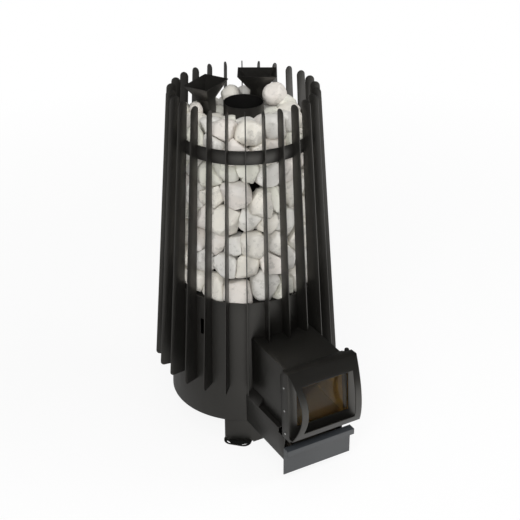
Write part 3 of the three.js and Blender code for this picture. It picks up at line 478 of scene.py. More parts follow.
# Stone shelf: the flat ring let in just under the drum's rim, which closes the air space round the
# firebox and carries the lowest stones.
SHELF_INNER = 131
SHELF_OUTER = 216.7
SHELF_BOTTOM = 474
SHELF_TOP = 477
shelf = turned([(SHELF_OUTER, SHELF_BOTTOM), (SHELF_OUTER, SHELF_TOP), (SHELF_INNER, SHELF_TOP),
                (SHELF_INNER, SHELF_BOTTOM)], 104)
ease_edges(shelf, 0.4)
make_piece("stone_shelf_ring", shelf, [SCALED_STEEL], "bare_steel", ["stone_shelf"])

# Fire tunnel: a square duct of sheet that carries the door out from the firebox, so that the stove can be
# fed from the next room. It is painted outside. Its inside is bare, with walls tinted straw by heat and
# brown ash on the floor.
DOOR_REACH = 450.5
DOOR_HEIGHT = 270.5
DOOR_LEAN = math.radians(4)
DOOR_PLACE = Matrix.Translation((0, -DOOR_REACH, DOOR_HEIGHT)) @ Matrix.Rotation(-DOOR_LEAN, 4, "X")
SURROUND_BACK = 51.8
FIREBOX_CLEAR = 130.3
DUCT_CUTS = 15
STRAW_STEEL = hot_steel("straw_tinted_steel", (0.20, 0.155, 0.065), (0.36, 0.285, 0.125), 0.6, 0.15)
ASHY_STEEL = hot_steel("ash_dusted_steel", (0.10, 0.078, 0.062), (0.18, 0.14, 0.11), 0.75, 0.05)


def upright_rectangle(half, bottom, top, depth):
    return [(-half, depth, bottom), (half, depth, bottom), (half, depth, top), (-half, depth, top)]


def slice_through(shape, point, normal, clear=True, dist=0.001):
    """Cuts a whole shape on a plane, and clears away what lies on the side that the normal points to."""
    bmesh.ops.bisect_plane(shape, geom=shape.faces[:] + shape.edges[:] + shape.verts[:], dist=dist,
                           plane_co=point, plane_no=normal, clear_outer=clear)


def duct_shape(half, bottom, top, reach):
    shape = bmesh.new()
    ring = ring_of(shape, upright_rectangle(half, bottom, top, -reach))
    level = [edge for edge in ring if abs(edge.verts[0].co.z - edge.verts[1].co.z) < 1]
    bmesh.ops.subdivide_edges(shape, edges=level, cuts=DUCT_CUTS)
    back = new_points(extrude_edges(shape, shape.edges[:], (0, reach, 0)))
    for vert in back:
        vert.co.y = -math.sqrt(FIREBOX_CLEAR ** 2 - vert.co.x ** 2)
    return shape


def line_inside(shape, half, bottom, top):
    for face in shape.faces:
        middle = face.calc_center_median()
        if abs(middle.x) < half - SHEET / 2 and bottom + SHEET / 2 < middle.z < top - SHEET / 2:
            face.material_index = 1


tunnel = duct_shape(TUNNEL_HALF, TUNNEL_BOTTOM, TUNNEL_TOP, DOOR_REACH)
slice_through(tunnel, DOOR_PLACE @ Vector((0, SURROUND_BACK + GAP, 0)),
              DOOR_PLACE.to_3x3() @ Vector((0, -1, 0)))
thicken_sheet(tunnel, SHEET, (0, -DOOR_REACH / 2, DOOR_HEIGHT))
line_inside(tunnel, TUNNEL_HALF, TUNNEL_BOTTOM, TUNNEL_TOP)
for face in tunnel.faces:
    if face.material_index == 1 and face.calc_center_median().z < TUNNEL_BOTTOM + 2 * SHEET:
        face.material_index = 2
ease_edges(tunnel, 0.8)
make_piece("fire_tunnel", tunnel, [CASING_PAINT, STRAW_STEEL, ASHY_STEEL], "black_paint", ["fuel_tunnel"])

# Ash channel: the wider, lower duct under the tunnel, which holds the ash drawer and feeds air to the
# grate. Near the drum, sloping cheeks join its top to the tunnel's sides. Its left wall runs on under
# the door.
ASH_BOTTOM = 79.3
ASH_TOP = 173.3
ASH_REACH = 388.7
ASH_LIP_REACH = 424.1
ASH_LIP_TOP = 158
CHEEK_REACH = 274.7
CHEEK_BACK = 204
CHEEK_TOP = 200
channel = duct_shape(ASH_HALF, ASH_BOTTOM, ASH_TOP, ASH_REACH)
slice_through(channel, (0, 0, ASH_LIP_TOP), (0, 0, 1), clear=False)
lip = []
for edge in channel.edges:
    left = all(vert.co.x < 1 - ASH_HALF and vert.co.y < 1 - ASH_REACH for vert in edge.verts)
    if left and max(vert.co.z for vert in edge.verts) < ASH_LIP_TOP + 1:
        lip.append(edge)
extrude_edges(channel, lip, (0, ASH_REACH - ASH_LIP_REACH, 0))
thicken_sheet(channel, SHEET, (0, -ASH_REACH / 2, (ASH_BOTTOM + ASH_TOP) / 2))
for side in (-1, 1):
    inner = side * (TUNNEL_HALF + GAP)
    outer = side * ASH_HALF
    bevelled = ring_of(channel, [(inner, -CHEEK_REACH, ASH_TOP), (outer, -CHEEK_REACH, ASH_TOP),
                                 (inner, -CHEEK_REACH, CHEEK_TOP)])
    cheek = bmesh.ops.triangle_fill(channel, use_beauty=True, edges=bevelled)["geom"]
    front = [item for item in cheek if isinstance(item, bmesh.types.BMFace)]
    grown = bmesh.ops.extrude_face_region(channel, geom=front)["geom"]
    bmesh.ops.translate(channel, vec=(0, CHEEK_REACH - CHEEK_BACK, 0), verts=new_points(grown))
ease_edges(channel, 0.8)
casing_piece("ash_channel_duct", channel, "ash_channel")

# Fins: twenty-six upright plates cut with a round tip and a rounded foot, welded edge-on round the drum.
# Their inner edges form the cage for the stones, and the three over the tunnel stop short above it.
FIN_FOOT = 199.5
FIN_TOP = 1064.8
FIN_FOOT_RADIUS = 282.4
FIN_TOP_RADIUS = 217.6
FIN_CORNER = 13
CAGE_FOOT_RADIUS = 221
CAGE_TOP_RADIUS = 190.2
BAND_BOTTOM = 910
BAND_TOP = 951
BAND_RADIUS = 201


def on_slope(height, low, high):
    (low_height, low_radius), (high_height, high_radius) = low, high
    return low_radius + (height - low_height) / (high_height - low_height) * (high_radius - low_radius)


def drum_radius(height):
    return on_slope(height, (DRUM_BOTTOM, DRUM_FOOT_RADIUS), (DRUM_TOP, DRUM_TOP_RADIUS))


def cage_radius(height):
    return on_slope(height, (DRUM_TOP, CAGE_FOOT_RADIUS), (FIN_TOP, CAGE_TOP_RADIUS))


def fin_radius(height):
    return on_slope(height, (FIN_FOOT, FIN_FOOT_RADIUS), (FIN_TOP, FIN_TOP_RADIUS))


def fin_shape(foot):
    shape = bmesh.new()
    notch = (BAND_BOTTOM - GAP, BAND_TOP + GAP)
    outline = [(drum_radius(foot) + GAP, foot), (fin_radius(foot), foot), (FIN_TOP_RADIUS, FIN_TOP),
               (CAGE_TOP_RADIUS, FIN_TOP), (cage_radius(notch[1]), notch[1]), (BAND_RADIUS + GAP, notch[1]),
               (BAND_RADIUS + GAP, notch[0]), (cage_radius(notch[0]), notch[0]), (CAGE_FOOT_RADIUS, DRUM_TOP)]
    corners = [shape.verts.new((radius, -SHEET / 2, height)) for radius, height in outline]
    shape.faces.new(corners)
    tip = (FIN_TOP_RADIUS - CAGE_TOP_RADIUS) / 2
    for rounded, offset, segments in ((corners[2:4], tip, 8), (corners[1:2], FIN_CORNER, 5)):
        bmesh.ops.bevel(shape, geom=rounded, offset=offset * 0.98, offset_type="OFFSET", affect="VERTICES",
                        segments=segments, profile=0.5, material=-1)
    raised = bmesh.ops.extrude_face_region(shape, geom=shape.faces[:])["geom"]
    bmesh.ops.translate(shape, vec=(0, SHEET, 0), verts=new_points(raised))
    ease_edges(shape, 0.4)
    return shape


for fin in range(FIN_COUNT):
    over_tunnel = min(fin, FIN_COUNT - fin) < 2
    foot = TUNNEL_TOP + SHEET if over_tunnel else FIN_FOOT
    turn = Matrix.Rotation(bay_angle(fin), 4, "Z")
    casing_piece(f"fin_plate_{fin + 1:02d}", fin_shape(foot), f"fin_{fin + 1:02d}", place=turn)

# Cage band: a flat hoop of strip that lies in notches in the fins' inner edges and ties them together
# round the top of the stones.
BAND_EDGE = 0.5
band_inner = BAND_RADIUS - SHEET
band = turned([(BAND_RADIUS - BAND_EDGE, BAND_BOTTOM), (BAND_RADIUS, BAND_BOTTOM + BAND_EDGE),
               (BAND_RADIUS, BAND_TOP - BAND_EDGE), (BAND_RADIUS - BAND_EDGE, BAND_TOP),
               (band_inner + BAND_EDGE, BAND_TOP), (band_inner, BAND_TOP - BAND_EDGE),
               (band_inner, BAND_BOTTOM + BAND_EDGE), (band_inner + BAND_EDGE, BAND_BOTTOM)], 156)
casing_piece("cage_hoop", band, "cage_band", crease=60)

# Stones: pale rock, packed by hand between the firebox, the flue and the cage. Each is a worn lump with a few
# broken faces that rests against its neighbours and stays behind the fins. The heap on top is looser.
STONE_SEED = 11
STONE_COLUMNS = 17
STONE_ROW_HEIGHTS = (501, 573, 645, 717, 789, 861, 930)
STONE_INSET = 34
STONE_HALF_WIDTH = 44
STONE_HALF_HEIGHT = 48
STONE_HALF_DEPTH = 31
STONE_BACK_DEPTH = 52
STONE_MARGIN = 3
STONE_REACH = 150
STONE_ANGLE_WANDER = 0.27
STONE_HEIGHT_WANDER = 25
STONE_SETBACK = (-4, 18)
STONE_FOOT_SETBACK = (-4, 2)
STONE_SIZES = (0.92, 1.12)
STONE_WIDTHS = (0.9, 1.1)
STONE_HEIGHTS = (0.95, 1.05)
STONE_TIP = 0.6
STONE_BOXINESS = 0.3
STONE_SWELL = 1.6
JOINT_LEAN = 0.3
JOINT_SHIFT = 0.07
CHIPS = 5
CHIP_DEPTH = (3, 12)
LOOSE_CHIPS = 6
FLAT_MARGIN = 2.0
STONE_CLEARANCE = 1.5
CAGE_SLOPE = 0.053
GREY_ROCK = (0.66, 0.645, 0.605, 1.0)
CREAM_ROCK = (0.72, 0.69, 0.62, 1.0)
ROSY_ROCK = (0.70, 0.655, 0.605, 1.0)
MOSSY_ROCK = (0.66, 0.655, 0.575, 1.0)
ROCK_CLOUD = (0.56, 0.55, 0.53, 1.0)
ROCK_VEIN = (0.36, 0.35, 0.32, 1.0)
ROCK_PIT = (0.28, 0.27, 0.25, 1.0)
UPPER_COURSE_FROM = 698
TOP_COURSE_FROM = 915
SHELF_CLEAR = 477.4
FUNNEL_X = 82.7
FUNNEL_Y = 68.6
FUNNEL_TURN = math.radians(30)
NECK_HALF = (20, 19)
RIM_RING = (13, 142, 961)
HEAP_RING = (9, 92, 948)
RING_ANGLE_WANDER = 0.25
RING_REACH_WANDER = 6
RING_HEIGHT_WANDER = 7
RING_NECK_GAP = 4
HEAP_HALF_HEIGHT = 42
HEAP_FALL = 0.12
LOOSE_ROCKS = ((104, 4, 1018, 36, 35, 34), (130, -14, 990, 38, 32, 26), (18, 112, 1000, 31, 28, 27),
               (72, 124, 985, 30, 27, 24), (-146, 84, 990, 24, 22, 24), (-126, 50, 998, 20, 20, 26))


def pale_rock(name):
    finish, shader, at = new_finish(name, {"Specular IOR Level": 0.25})
    tone = at.node("ShaderNodeAttribute", {"attribute_name": "tone"}, {}, "Fac")
    cloud = at.grain(14.0, 5.0, 0.6)
    vein = at.grain(30.0, 6.0, 0.75)
    pit = at.grain(260.0, 4.0, 0.6)
    cream = tone.between(0.25, 0.30).blend(GREY_ROCK, CREAM_ROCK)
    rosy = tone.between(0.55, 0.60).blend(cream, ROSY_ROCK)
    mossy = tone.between(0.80, 0.85).blend(rosy, MOSSY_ROCK)
    body = (cloud.between(0.40, 0.75) * 0.55).blend(mossy, ROCK_CLOUD)
    streak = vein.between(0.55, 0.62) * (1 - vein.between(0.63, 0.72)) * 0.5
    veined = streak.blend(body, ROCK_VEIN)
    speck = (1 - pit.between(0.24, 0.34)) * 0.45
    speck.blend(veined, ROCK_PIT).feeds(shader, "Base Color")
    (0.68 + cloud * 0.2).feeds(shader, "Roughness")
    bump(shader, pit * 0.45 + cloud * 0.55, 0.35, 0.0025)
    return finish


ROCK = pale_rock("pale_rock")
draw = random.Random(STONE_SEED)


def wander(most):
    return draw.uniform(-most, most)


def cage_point(angle, height, inset):
    radius = cage_radius(height) - inset
    return Vector((radius * math.cos(angle), radius * math.sin(angle), height))


def wall_seeds():
    seeds = []
    for row, height in enumerate(STONE_ROW_HEIGHTS):
        for column in range(STONE_COLUMNS):
            place = column + 0.5 * (row % 2) + wander(STONE_ANGLE_WANDER)
            setback = draw.uniform(*(STONE_SETBACK if row else STONE_FOOT_SETBACK))
            angle = place / STONE_COLUMNS * 2 * math.pi
            seeds.append(cage_point(angle, height + wander(STONE_HEIGHT_WANDER), STONE_INSET + setback))
    return seeds


def ring_seeds(count, radius, height):
    seeds = []
    for number in range(count):
        angle = (number + wander(RING_ANGLE_WANDER)) / count * 2 * math.pi
        reach = radius + wander(RING_REACH_WANDER)
        x, y = reach * math.cos(angle), reach * math.sin(angle)
        seeds.append(Vector((x, y, height - y * HEAP_FALL + wander(RING_HEIGHT_WANDER))))
    return seeds


def funnel_place(side):
    return Matrix.Translation((side * FUNNEL_X, FUNNEL_Y, 0)) @ Matrix.Rotation(-side * FUNNEL_TURN, 4, "Z")


def neck_plane(seed, side):
    """The face of a funnel's neck that looks at a stone, as a gap, a point and an outward normal."""
    place = funnel_place(side)
    local = place.inverted() @ seed
    gaps = (abs(local.x) - NECK_HALF[0], abs(local.y) - NECK_HALF[1])
    axis = 0 if gaps[0] > gaps[1] else 1
    normal = Vector((0, 0, 0))
    normal[axis] = math.copysign(1, local[axis])
    clear = place @ (normal * (NECK_HALF[axis] + STONE_CLEARANCE))
    return max(gaps), clear, place.to_3x3() @ normal


def keep_behind(shape, point, normal):
    slice_through(shape, point, normal, dist=0.01)
    rim = [edge for edge in shape.edges if len(edge.link_faces) == 1]
    if rim:
        flat = bmesh.ops.edgeloop_fill(shape, edges=rim)["faces"]
        bmesh.ops.inset_individual(shape, faces=flat, thickness=FLAT_MARGIN, depth=0)


def lump(seed, halves):
    """An egg-shaped lump with its broad side outwards, tipped a little, and longer towards the flue."""
    width, depth, height = halves
    shape = bmesh.new()
    bmesh.ops.create_icosphere(shape, subdivisions=4, radius=1)
    for vert in shape.verts:
        back = STONE_BACK_DEPTH if vert.co.y > 0 else depth
        boxy = max(abs(vert.co.x), abs(vert.co.z), STONE_BOXINESS) ** -STONE_BOXINESS
        vert.co = Vector((vert.co.x * width * boxy, vert.co.y * back, vert.co.z * height * boxy))
    facing = Matrix.Rotation(math.atan2(seed.y, seed.x) + math.pi / 2, 3, "Z")
    tip = Matrix.Rotation(wander(STONE_TIP), 3, "Y")
    bmesh.ops.rotate(shape, cent=(0, 0, 0), matrix=facing @ tip, verts=shape.verts[:])
    bmesh.ops.translate(shape, vec=seed, verts=shape.verts[:])
    return shape


def rest_against(shape, index, seeds):
    """Cuts a stone off at its joints with its neighbours. The joints lean, so that they don't line up."""
    seed = seeds[index]
    for other, point in enumerate(seeds):
        if other == index or (point - seed).length > STONE_REACH:
            continue
        lean = random.Random(min(other, index) * 1009 + max(other, index))
        normal = (point - seed).normalized()
        tilt = Vector([lean.uniform(-JOINT_LEAN, JOINT_LEAN) for _ in range(3)])
        share = lean.uniform(-JOINT_SHIFT, JOINT_SHIFT)
        if index > other:
            tilt, share = -tilt, -share
        keep_behind(shape, seed + (point - seed) * (0.5 + share), (normal + tilt).normalized())


def chip_off(shape, seed):
    outward = Vector((seed.x, seed.y, 0)).normalized()
    across = Vector((-outward.y, outward.x, 0))
    for _ in range(CHIPS):
        facing = outward * 0.8 + across * wander(1) + Vector((0, 0, wander(1)))
        facing.normalize()
        crest = max((vert.co - seed).dot(facing) for vert in shape.verts)
        keep_behind(shape, seed + facing * (crest - draw.uniform(*CHIP_DEPTH)), facing)


def wear_down(shape, seed):
    bmesh.ops.triangulate(shape, faces=[face for face in shape.faces if len(face.verts) > 4])
    bmesh.ops.smooth_vert(shape, verts=shape.verts[:], factor=0.5, use_axis_x=True, use_axis_y=True,
                          use_axis_z=True)
    for vert in shape.verts:
        swell = noise.fractal((vert.co + seed) * 0.03, 0.8, 2.1, 3)
        vert.co += (vert.co - seed).normalized() * swell * STONE_SWELL


def packed_stone(index, seeds, half_height):
    seed = seeds[index]
    size = draw.uniform(*STONE_SIZES)
    halves = (STONE_HALF_WIDTH * size * draw.uniform(*STONE_WIDTHS), STONE_HALF_DEPTH,
              half_height * size * draw.uniform(*STONE_HEIGHTS))
    shape = lump(seed, halves)
    rest_against(shape, index, seeds)
    chip_off(shape, seed)
    outward = Vector((seed.x, seed.y, 0)).normalized()
    slope = Vector((outward.x, outward.y, CAGE_SLOPE)).normalized()
    keep_behind(shape, cage_point(math.atan2(seed.y, seed.x), seed.z, STONE_MARGIN), slope)
    keep_behind(shape, Vector((0, 0, SHELF_CLEAR)), Vector((0, 0, -1)))
    keep_behind(shape, outward * (FLUE_RADIUS + STONE_CLEARANCE), -outward)
    for side in (-1, 1):
        gap, point, normal = neck_plane(seed, side)
        if gap < STONE_REACH:
            keep_behind(shape, point, -normal)
    wear_down(shape, seed)
    return shape


def loose_rock(x, y, z, length, width, height):
    shape = bmesh.new()
    seed = Vector((x, y, z))
    bmesh.ops.create_icosphere(shape, subdivisions=4, radius=1)
    bmesh.ops.scale(shape, vec=(length, width, height), verts=shape.verts[:])
    bmesh.ops.rotate(shape, cent=(0, 0, 0), matrix=Matrix.Rotation(draw.uniform(0, math.pi), 3, "Z"),
                     verts=shape.verts[:])
    bmesh.ops.translate(shape, vec=seed, verts=shape.verts[:])
    for _ in range(LOOSE_CHIPS):
        facing = Vector((wander(1), wander(1), draw.uniform(-0.6, 1))).normalized()
        keep_behind(shape, seed + facing * height * draw.uniform(0.8, 0.97), facing)
    wear_down(shape, seed)
    return shape


def add_rock(course, tones, rock):
    mesh = bpy.data.meshes.new("rock")
    bmesh.ops.recalc_face_normals(rock, faces=rock.faces[:])
    rock.to_mesh(mesh)
    rock.free()
    count = len(course.faces)
    course.from_mesh(mesh)
    bpy.data.meshes.remove(mesh)
    course.faces.ensure_lookup_table()
    tone = draw.random()
    for number in range(count, len(course.faces)):
        course.faces[number][tones] = tone


courses = {name: bmesh.new() for name in ("lower", "upper", "top")}
tone_layers = {name: course.faces.layers.float.new("tone") for name, course in courses.items()}
packed = wall_seeds()
wall_count = len(packed)
for seed in ring_seeds(*RIM_RING) + ring_seeds(*HEAP_RING):
    if min(neck_plane(seed, side)[0] for side in (-1, 1)) > RING_NECK_GAP:
        packed.append(seed)
for index, seed in enumerate(packed):
    course = "lower" if seed.z < UPPER_COURSE_FROM else "upper" if seed.z < TOP_COURSE_FROM else "top"
    half_height = STONE_HALF_HEIGHT if index < wall_count else HEAP_HALF_HEIGHT
    add_rock(courses[course], tone_layers[course], packed_stone(index, packed, half_height))
for rock in LOOSE_ROCKS:
    add_rock(courses["top"], tone_layers["top"], loose_rock(*rock))
for name, course in courses.items():
    make_piece(f"rock_course_{name}", course, [ROCK], "pale_stone", [f"stones_{name}"], crease=55)

# Water funnels: folded sheet pyramids over square necks that go down between the stones, so that water
# thrown in turns to steam low in the charge. One stands on each side behind the flue.
FUNNEL_RIM = (113, 79, 1067)
FUNNEL_NECK_TOP = 1020
FUNNEL_NECK_BOTTOM = 865
FUNNEL_WALL = 2


def funnel_shape():
    shape = bmesh.new()
    length, width, rim = FUNNEL_RIM
    ring = ring_of(shape, rectangle(length / 2, -width / 2, width / 2, rim))
    drawn = new_points(extrude_edges(shape, ring, (0, 0, FUNNEL_NECK_TOP - rim)))
    bmesh.ops.scale(shape, vec=(2 * NECK_HALF[0] / length, 2 * NECK_HALF[1] / width, 1), verts=drawn)
    lower = [edge for edge in shape.edges if all(vert in drawn for vert in edge.verts)]
    extrude_edges(shape, lower, (0, 0, FUNNEL_NECK_BOTTOM - FUNNEL_NECK_TOP))
    thicken_sheet(shape, FUNNEL_WALL, (0, 0, FUNNEL_NECK_TOP))
    ease_edges(shape, 0.5)
    return shape


for name, side in (("left", -1), ("right", 1)):
    casing_piece(f"water_funnel_{name}", funnel_shape(), f"funnel_{name}", place=funnel_place(side))

# Door surround: the tunnel's mouth, a flat frame with a sleeve that the door's rope seal shuts against.
# Two hinge eyes on lugs are welded to its right edge.
HINGE_X = 113
HINGE_SETBACK = 48.5
EYE_RADIUS = 7
PIN_RADIUS = 4
EYE_LENGTH = 16
HINGE_HEIGHTS = {"upper": 88, "lower": -82}
LUG_INNER = 99
MOUTH = (90.25, -90, 99.4)
SURROUND = (100, -98, 103.4)
SURROUND_FRONT = 46.8
SLEEVE = (102.8, -96, 104)
SLEEVE_FRONT = 11.6


def add_frame(shape, outer, inner, front, back):
    rims = ring_of(shape, upright_rectangle(*outer, front)) + ring_of(shape, upright_rectangle(*inner, front))
    faces = bmesh.ops.bridge_loops(shape, edges=rims)["faces"]
    grown = bmesh.ops.extrude_face_region(shape, geom=faces)["geom"]
    bmesh.ops.translate(shape, vec=(0, back - front, 0), verts=new_points(grown))


def add_block(shape, low, high):
    middle = (Vector(low) + Vector(high)) / 2
    size = Vector(high) - Vector(low)
    bmesh.ops.create_cube(shape, size=1, matrix=Matrix.Translation(middle) @ Matrix.Diagonal((*size, 1)))


def add_eye(shape, bottom, top):
    inner = PIN_RADIUS + GAP
    profile = ((EYE_RADIUS, bottom), (EYE_RADIUS, top), (inner, top), (inner, bottom))
    points = [shape.verts.new((HINGE_X + radius, HINGE_SETBACK, height)) for radius, height in profile]
    edges = [shape.edges.new(pair) for pair in zip(points, points[1:] + points[:1])]
    bmesh.ops.spin(shape, geom=points + edges, cent=(HINGE_X, HINGE_SETBACK, 0), axis=(0, 0, 1),
                   angle=2 * math.pi, steps=28, use_merge=True)


surround = bmesh.new()
add_frame(surround, SURROUND, MOUTH, SURROUND_FRONT, SURROUND_BACK)
add_frame(surround, SLEEVE, MOUTH, SLEEVE_FRONT, SURROUND_FRONT)
for height in HINGE_HEIGHTS.values():
    add_eye(surround, height - EYE_LENGTH, height)
    add_block(surround, (LUG_INNER, HINGE_SETBACK, height - EYE_LENGTH),
              (HINGE_X - EYE_RADIUS + 1, SURROUND_BACK, height))
ease_edges(surround, 0.5)
casing_piece("tunnel_mouth", surround, "door_surround", place=DOOR_PLACE)

# Hinge pins: steel rods dropped through the eyes of the surround and the leaf. Each has a flat head with
# an eased rim, which hangs on the leaf's eye.
PIN_HEAD_RADIUS = 6
PIN_HEAD_HEIGHT = 3
PIN_HEAD_EASE = 1.2
PIN_TAIL_EASE = 0.8
for name, height in HINGE_HEIGHTS.items():
    head = height + EYE_LENGTH + GAP
    tail = height - EYE_LENGTH - SHEET
    crest = head + PIN_HEAD_HEIGHT
    pin = turned([(0, tail), (PIN_RADIUS - PIN_TAIL_EASE, tail), (PIN_RADIUS, tail + PIN_TAIL_EASE),
                  (PIN_RADIUS, head), (PIN_HEAD_RADIUS, head), (PIN_HEAD_RADIUS, crest - PIN_HEAD_EASE),
                  (PIN_HEAD_RADIUS - PIN_HEAD_EASE, crest), (0, crest)], 28, False)
    bmesh.ops.translate(pin, vec=(HINGE_X, HINGE_SETBACK, 0), verts=pin.verts[:])
    make_piece(f"hinge_rod_{name}", pin, [SCALED_STEEL], "bare_steel", [f"hinge_pin_{name}"],
               place=DOOR_PLACE)

# Door leaf: a shallow tray folded from sheet, with the window cut in its front and the top of its flanges
# cut off at a slant. An eye behind the right flange turns on each hinge pin.
DOOR = "door"
LEAF_HALF = 113.8
LEAF_BOTTOM = -106
LEAF_TOP = 112
LEAF_DEPTH = 41
LEAF_CHAMFER = 16
WINDOW = (86, -62, 76)
leaf = bmesh.new()
rim = ring_of(leaf, upright_rectangle(LEAF_HALF, LEAF_BOTTOM, LEAF_TOP, 0))
opening = ring_of(leaf, upright_rectangle(*WINDOW, 0))
bmesh.ops.bridge_loops(leaf, edges=rim + opening)
extrude_edges(leaf, rim, (0, LEAF_DEPTH, 0))
slice_through(leaf, (0, LEAF_DEPTH, LEAF_TOP - LEAF_CHAMFER), (0, 1, 1))
thicken_sheet(leaf, SHEET, (0, LEAF_DEPTH, 0))
ease_edges(leaf, 0.9)
for height in HINGE_HEIGHTS.values():
    add_eye(leaf, height + GAP, height + EYE_LENGTH)
    add_block(leaf, (LEAF_HALF - SHEET, LEAF_DEPTH - 1, height + GAP),
              (LEAF_HALF, HINGE_SETBACK - PIN_RADIUS - GAP, height + EYE_LENGTH))
casing_piece("door_tray", leaf, "door_leaf", body=DOOR, place=DOOR_PLACE)

# Flange bolts: three small pan heads of bright plated steel in a row down the door's left flange. They hold
# the clamps of the glass.
BOLT_DEPTH = 22
BOLT_HEIGHTS = (63, -12, -87)
BOLT_RADIUS = 3.4
BRIGHT_STEEL = hot_steel("bright_bolt_steel", (0.78, 0.78, 0.76), (0.86, 0.85, 0.83), 0.24, 0.9)
for number, height in enumerate(BOLT_HEIGHTS):
    bolt = turned([(0, 0), (BOLT_RADIUS, 0), (BOLT_RADIUS, 0.9), (BOLT_RADIUS * 0.75, 1.9),
                   (BOLT_RADIUS * 0.35, 2.4), (0, 2.5)], 20, False)
    stand = Matrix.Translation((-LEAF_HALF, BOLT_DEPTH, height)) @ Matrix.Rotation(-math.pi / 2, 4, "Y")
    make_piece(f"flange_bolt_{number + 1}", bolt, [BRIGHT_STEEL], "bare_steel", body=DOOR,
               place=DOOR_PLACE @ stand)

# Door glass: a flat pane of amber heat-proof glass behind the window. A thin steel frame clamps it to the
# leaf.
PANE = (95, -71, 85)
PANE_FRONT = 3.3
PANE_BACK = 7.3
RETAINER_BACK = 9.6


def amber_glass(name):
    constants = {"Base Color": (0.78, 0.63, 0.36, 1.0), "Transmission Weight": 1.0, "IOR": 1.3,
                 "Specular IOR Level": 0.35}
    finish, shader, at = new_finish(name, constants)
    smear = at.grain(22.0, 4.0, 0.6)
    (smear * 0.05).feeds(shader, "Roughness")
    return finish


pane = bmesh.new()
add_block(pane, (-PANE[0], PANE_FRONT, PANE[1]), (PANE[0], PANE_BACK, PANE[2]))
ease_edges(pane, 0.6)
make_piece("amber_pane", pane, [amber_glass("amber_glass")], "amber_glass", ["door_glass"], body=DOOR,
           place=DOOR_PLACE)
clamp = bmesh.new()
add_frame(clamp, PANE, WINDOW, PANE_BACK + GAP, RETAINER_BACK)
ease_edges(clamp, 0.4)
make_piece("pane_clamp", clamp, [BARE_STEEL], "bare_steel", ["glass_retainer"], body=DOOR, place=DOOR_PLACE)

# Door seal: a braided heat-proof rope laid in the back of the leaf, round the pane. The shut door presses it
# against the tunnel's mouth.
SEAL = (105.8, -99, 105)
SEAL_WIDTH = 9
SEAL_BACK = 11.3


def braided_rope(name):
    finish, shader, at = new_finish(name, {"Specular IOR Level": 0.2, "Roughness": 0.95})
    fibre = at.grain(420.0, 4.0, 0.7)
    settings = {"wave_type": "BANDS", "bands_direction": "DIAGONAL"}
    strand = at.node("ShaderNodeTexWave", settings, {"Vector": at, "Scale": 95.0, "Distortion": 1.5}, "Fac")
    weave = strand * 0.7 + fibre * 0.3
    weave.blend((0.30, 0.27, 0.22, 1.0), (0.66, 0.62, 0.54, 1.0)).feeds(shader, "Base Color")
    bump(shader, weave, 0.8, 0.002)
    return finish


seal = bmesh.new()
sealed = (SEAL[0] - SEAL_WIDTH, SEAL[1] + SEAL_WIDTH, SEAL[2] - SEAL_WIDTH)
add_frame(seal, SEAL, sealed, PANE_FRONT, SEAL_BACK)
ease_edges(seal, 2.6, 4)
make_piece("rope_seal", seal, [braided_rope("braided_rope")], "rope", ["door_seal"], body=DOOR,
           place=DOOR_PLACE)

# Bowed frame: a second sheet in front of the leaf, bent forward like a bow, with waisted sides and its own
# window. It is folded back over the leaf's top and at its foot, and it is the handle.
BOW_BOTTOM = -97.1
BOW_TOP = 115.3
BOW_FOOT_REACH = 16.2
BOW_HEAD_REACH = 1.4
BOW_SAG = 41.8
BOW_WAIST = 15.4
BOW_WINDOW = (85.3, -69.1, 79.5)
BOW_WINDOW_WAIST = 7.6
BOW_STRIP_COLUMNS = 4
BOW_WINDOW_COLUMNS = 10
BOW_ROWS = (6, 28, 8)


def quadratic(start, control, end, share):
    return (1 - share) ** 2 * start + 2 * share * (1 - share) * control + share ** 2 * end


def bow_height(row):
    levels = (BOW_BOTTOM, BOW_WINDOW[1], BOW_WINDOW[2], BOW_TOP)
    for low, high, rows in zip(levels, levels[1:], BOW_ROWS):
        if row <= rows:
            return low + (high - low) * row / rows
        row -= rows
    return BOW_TOP


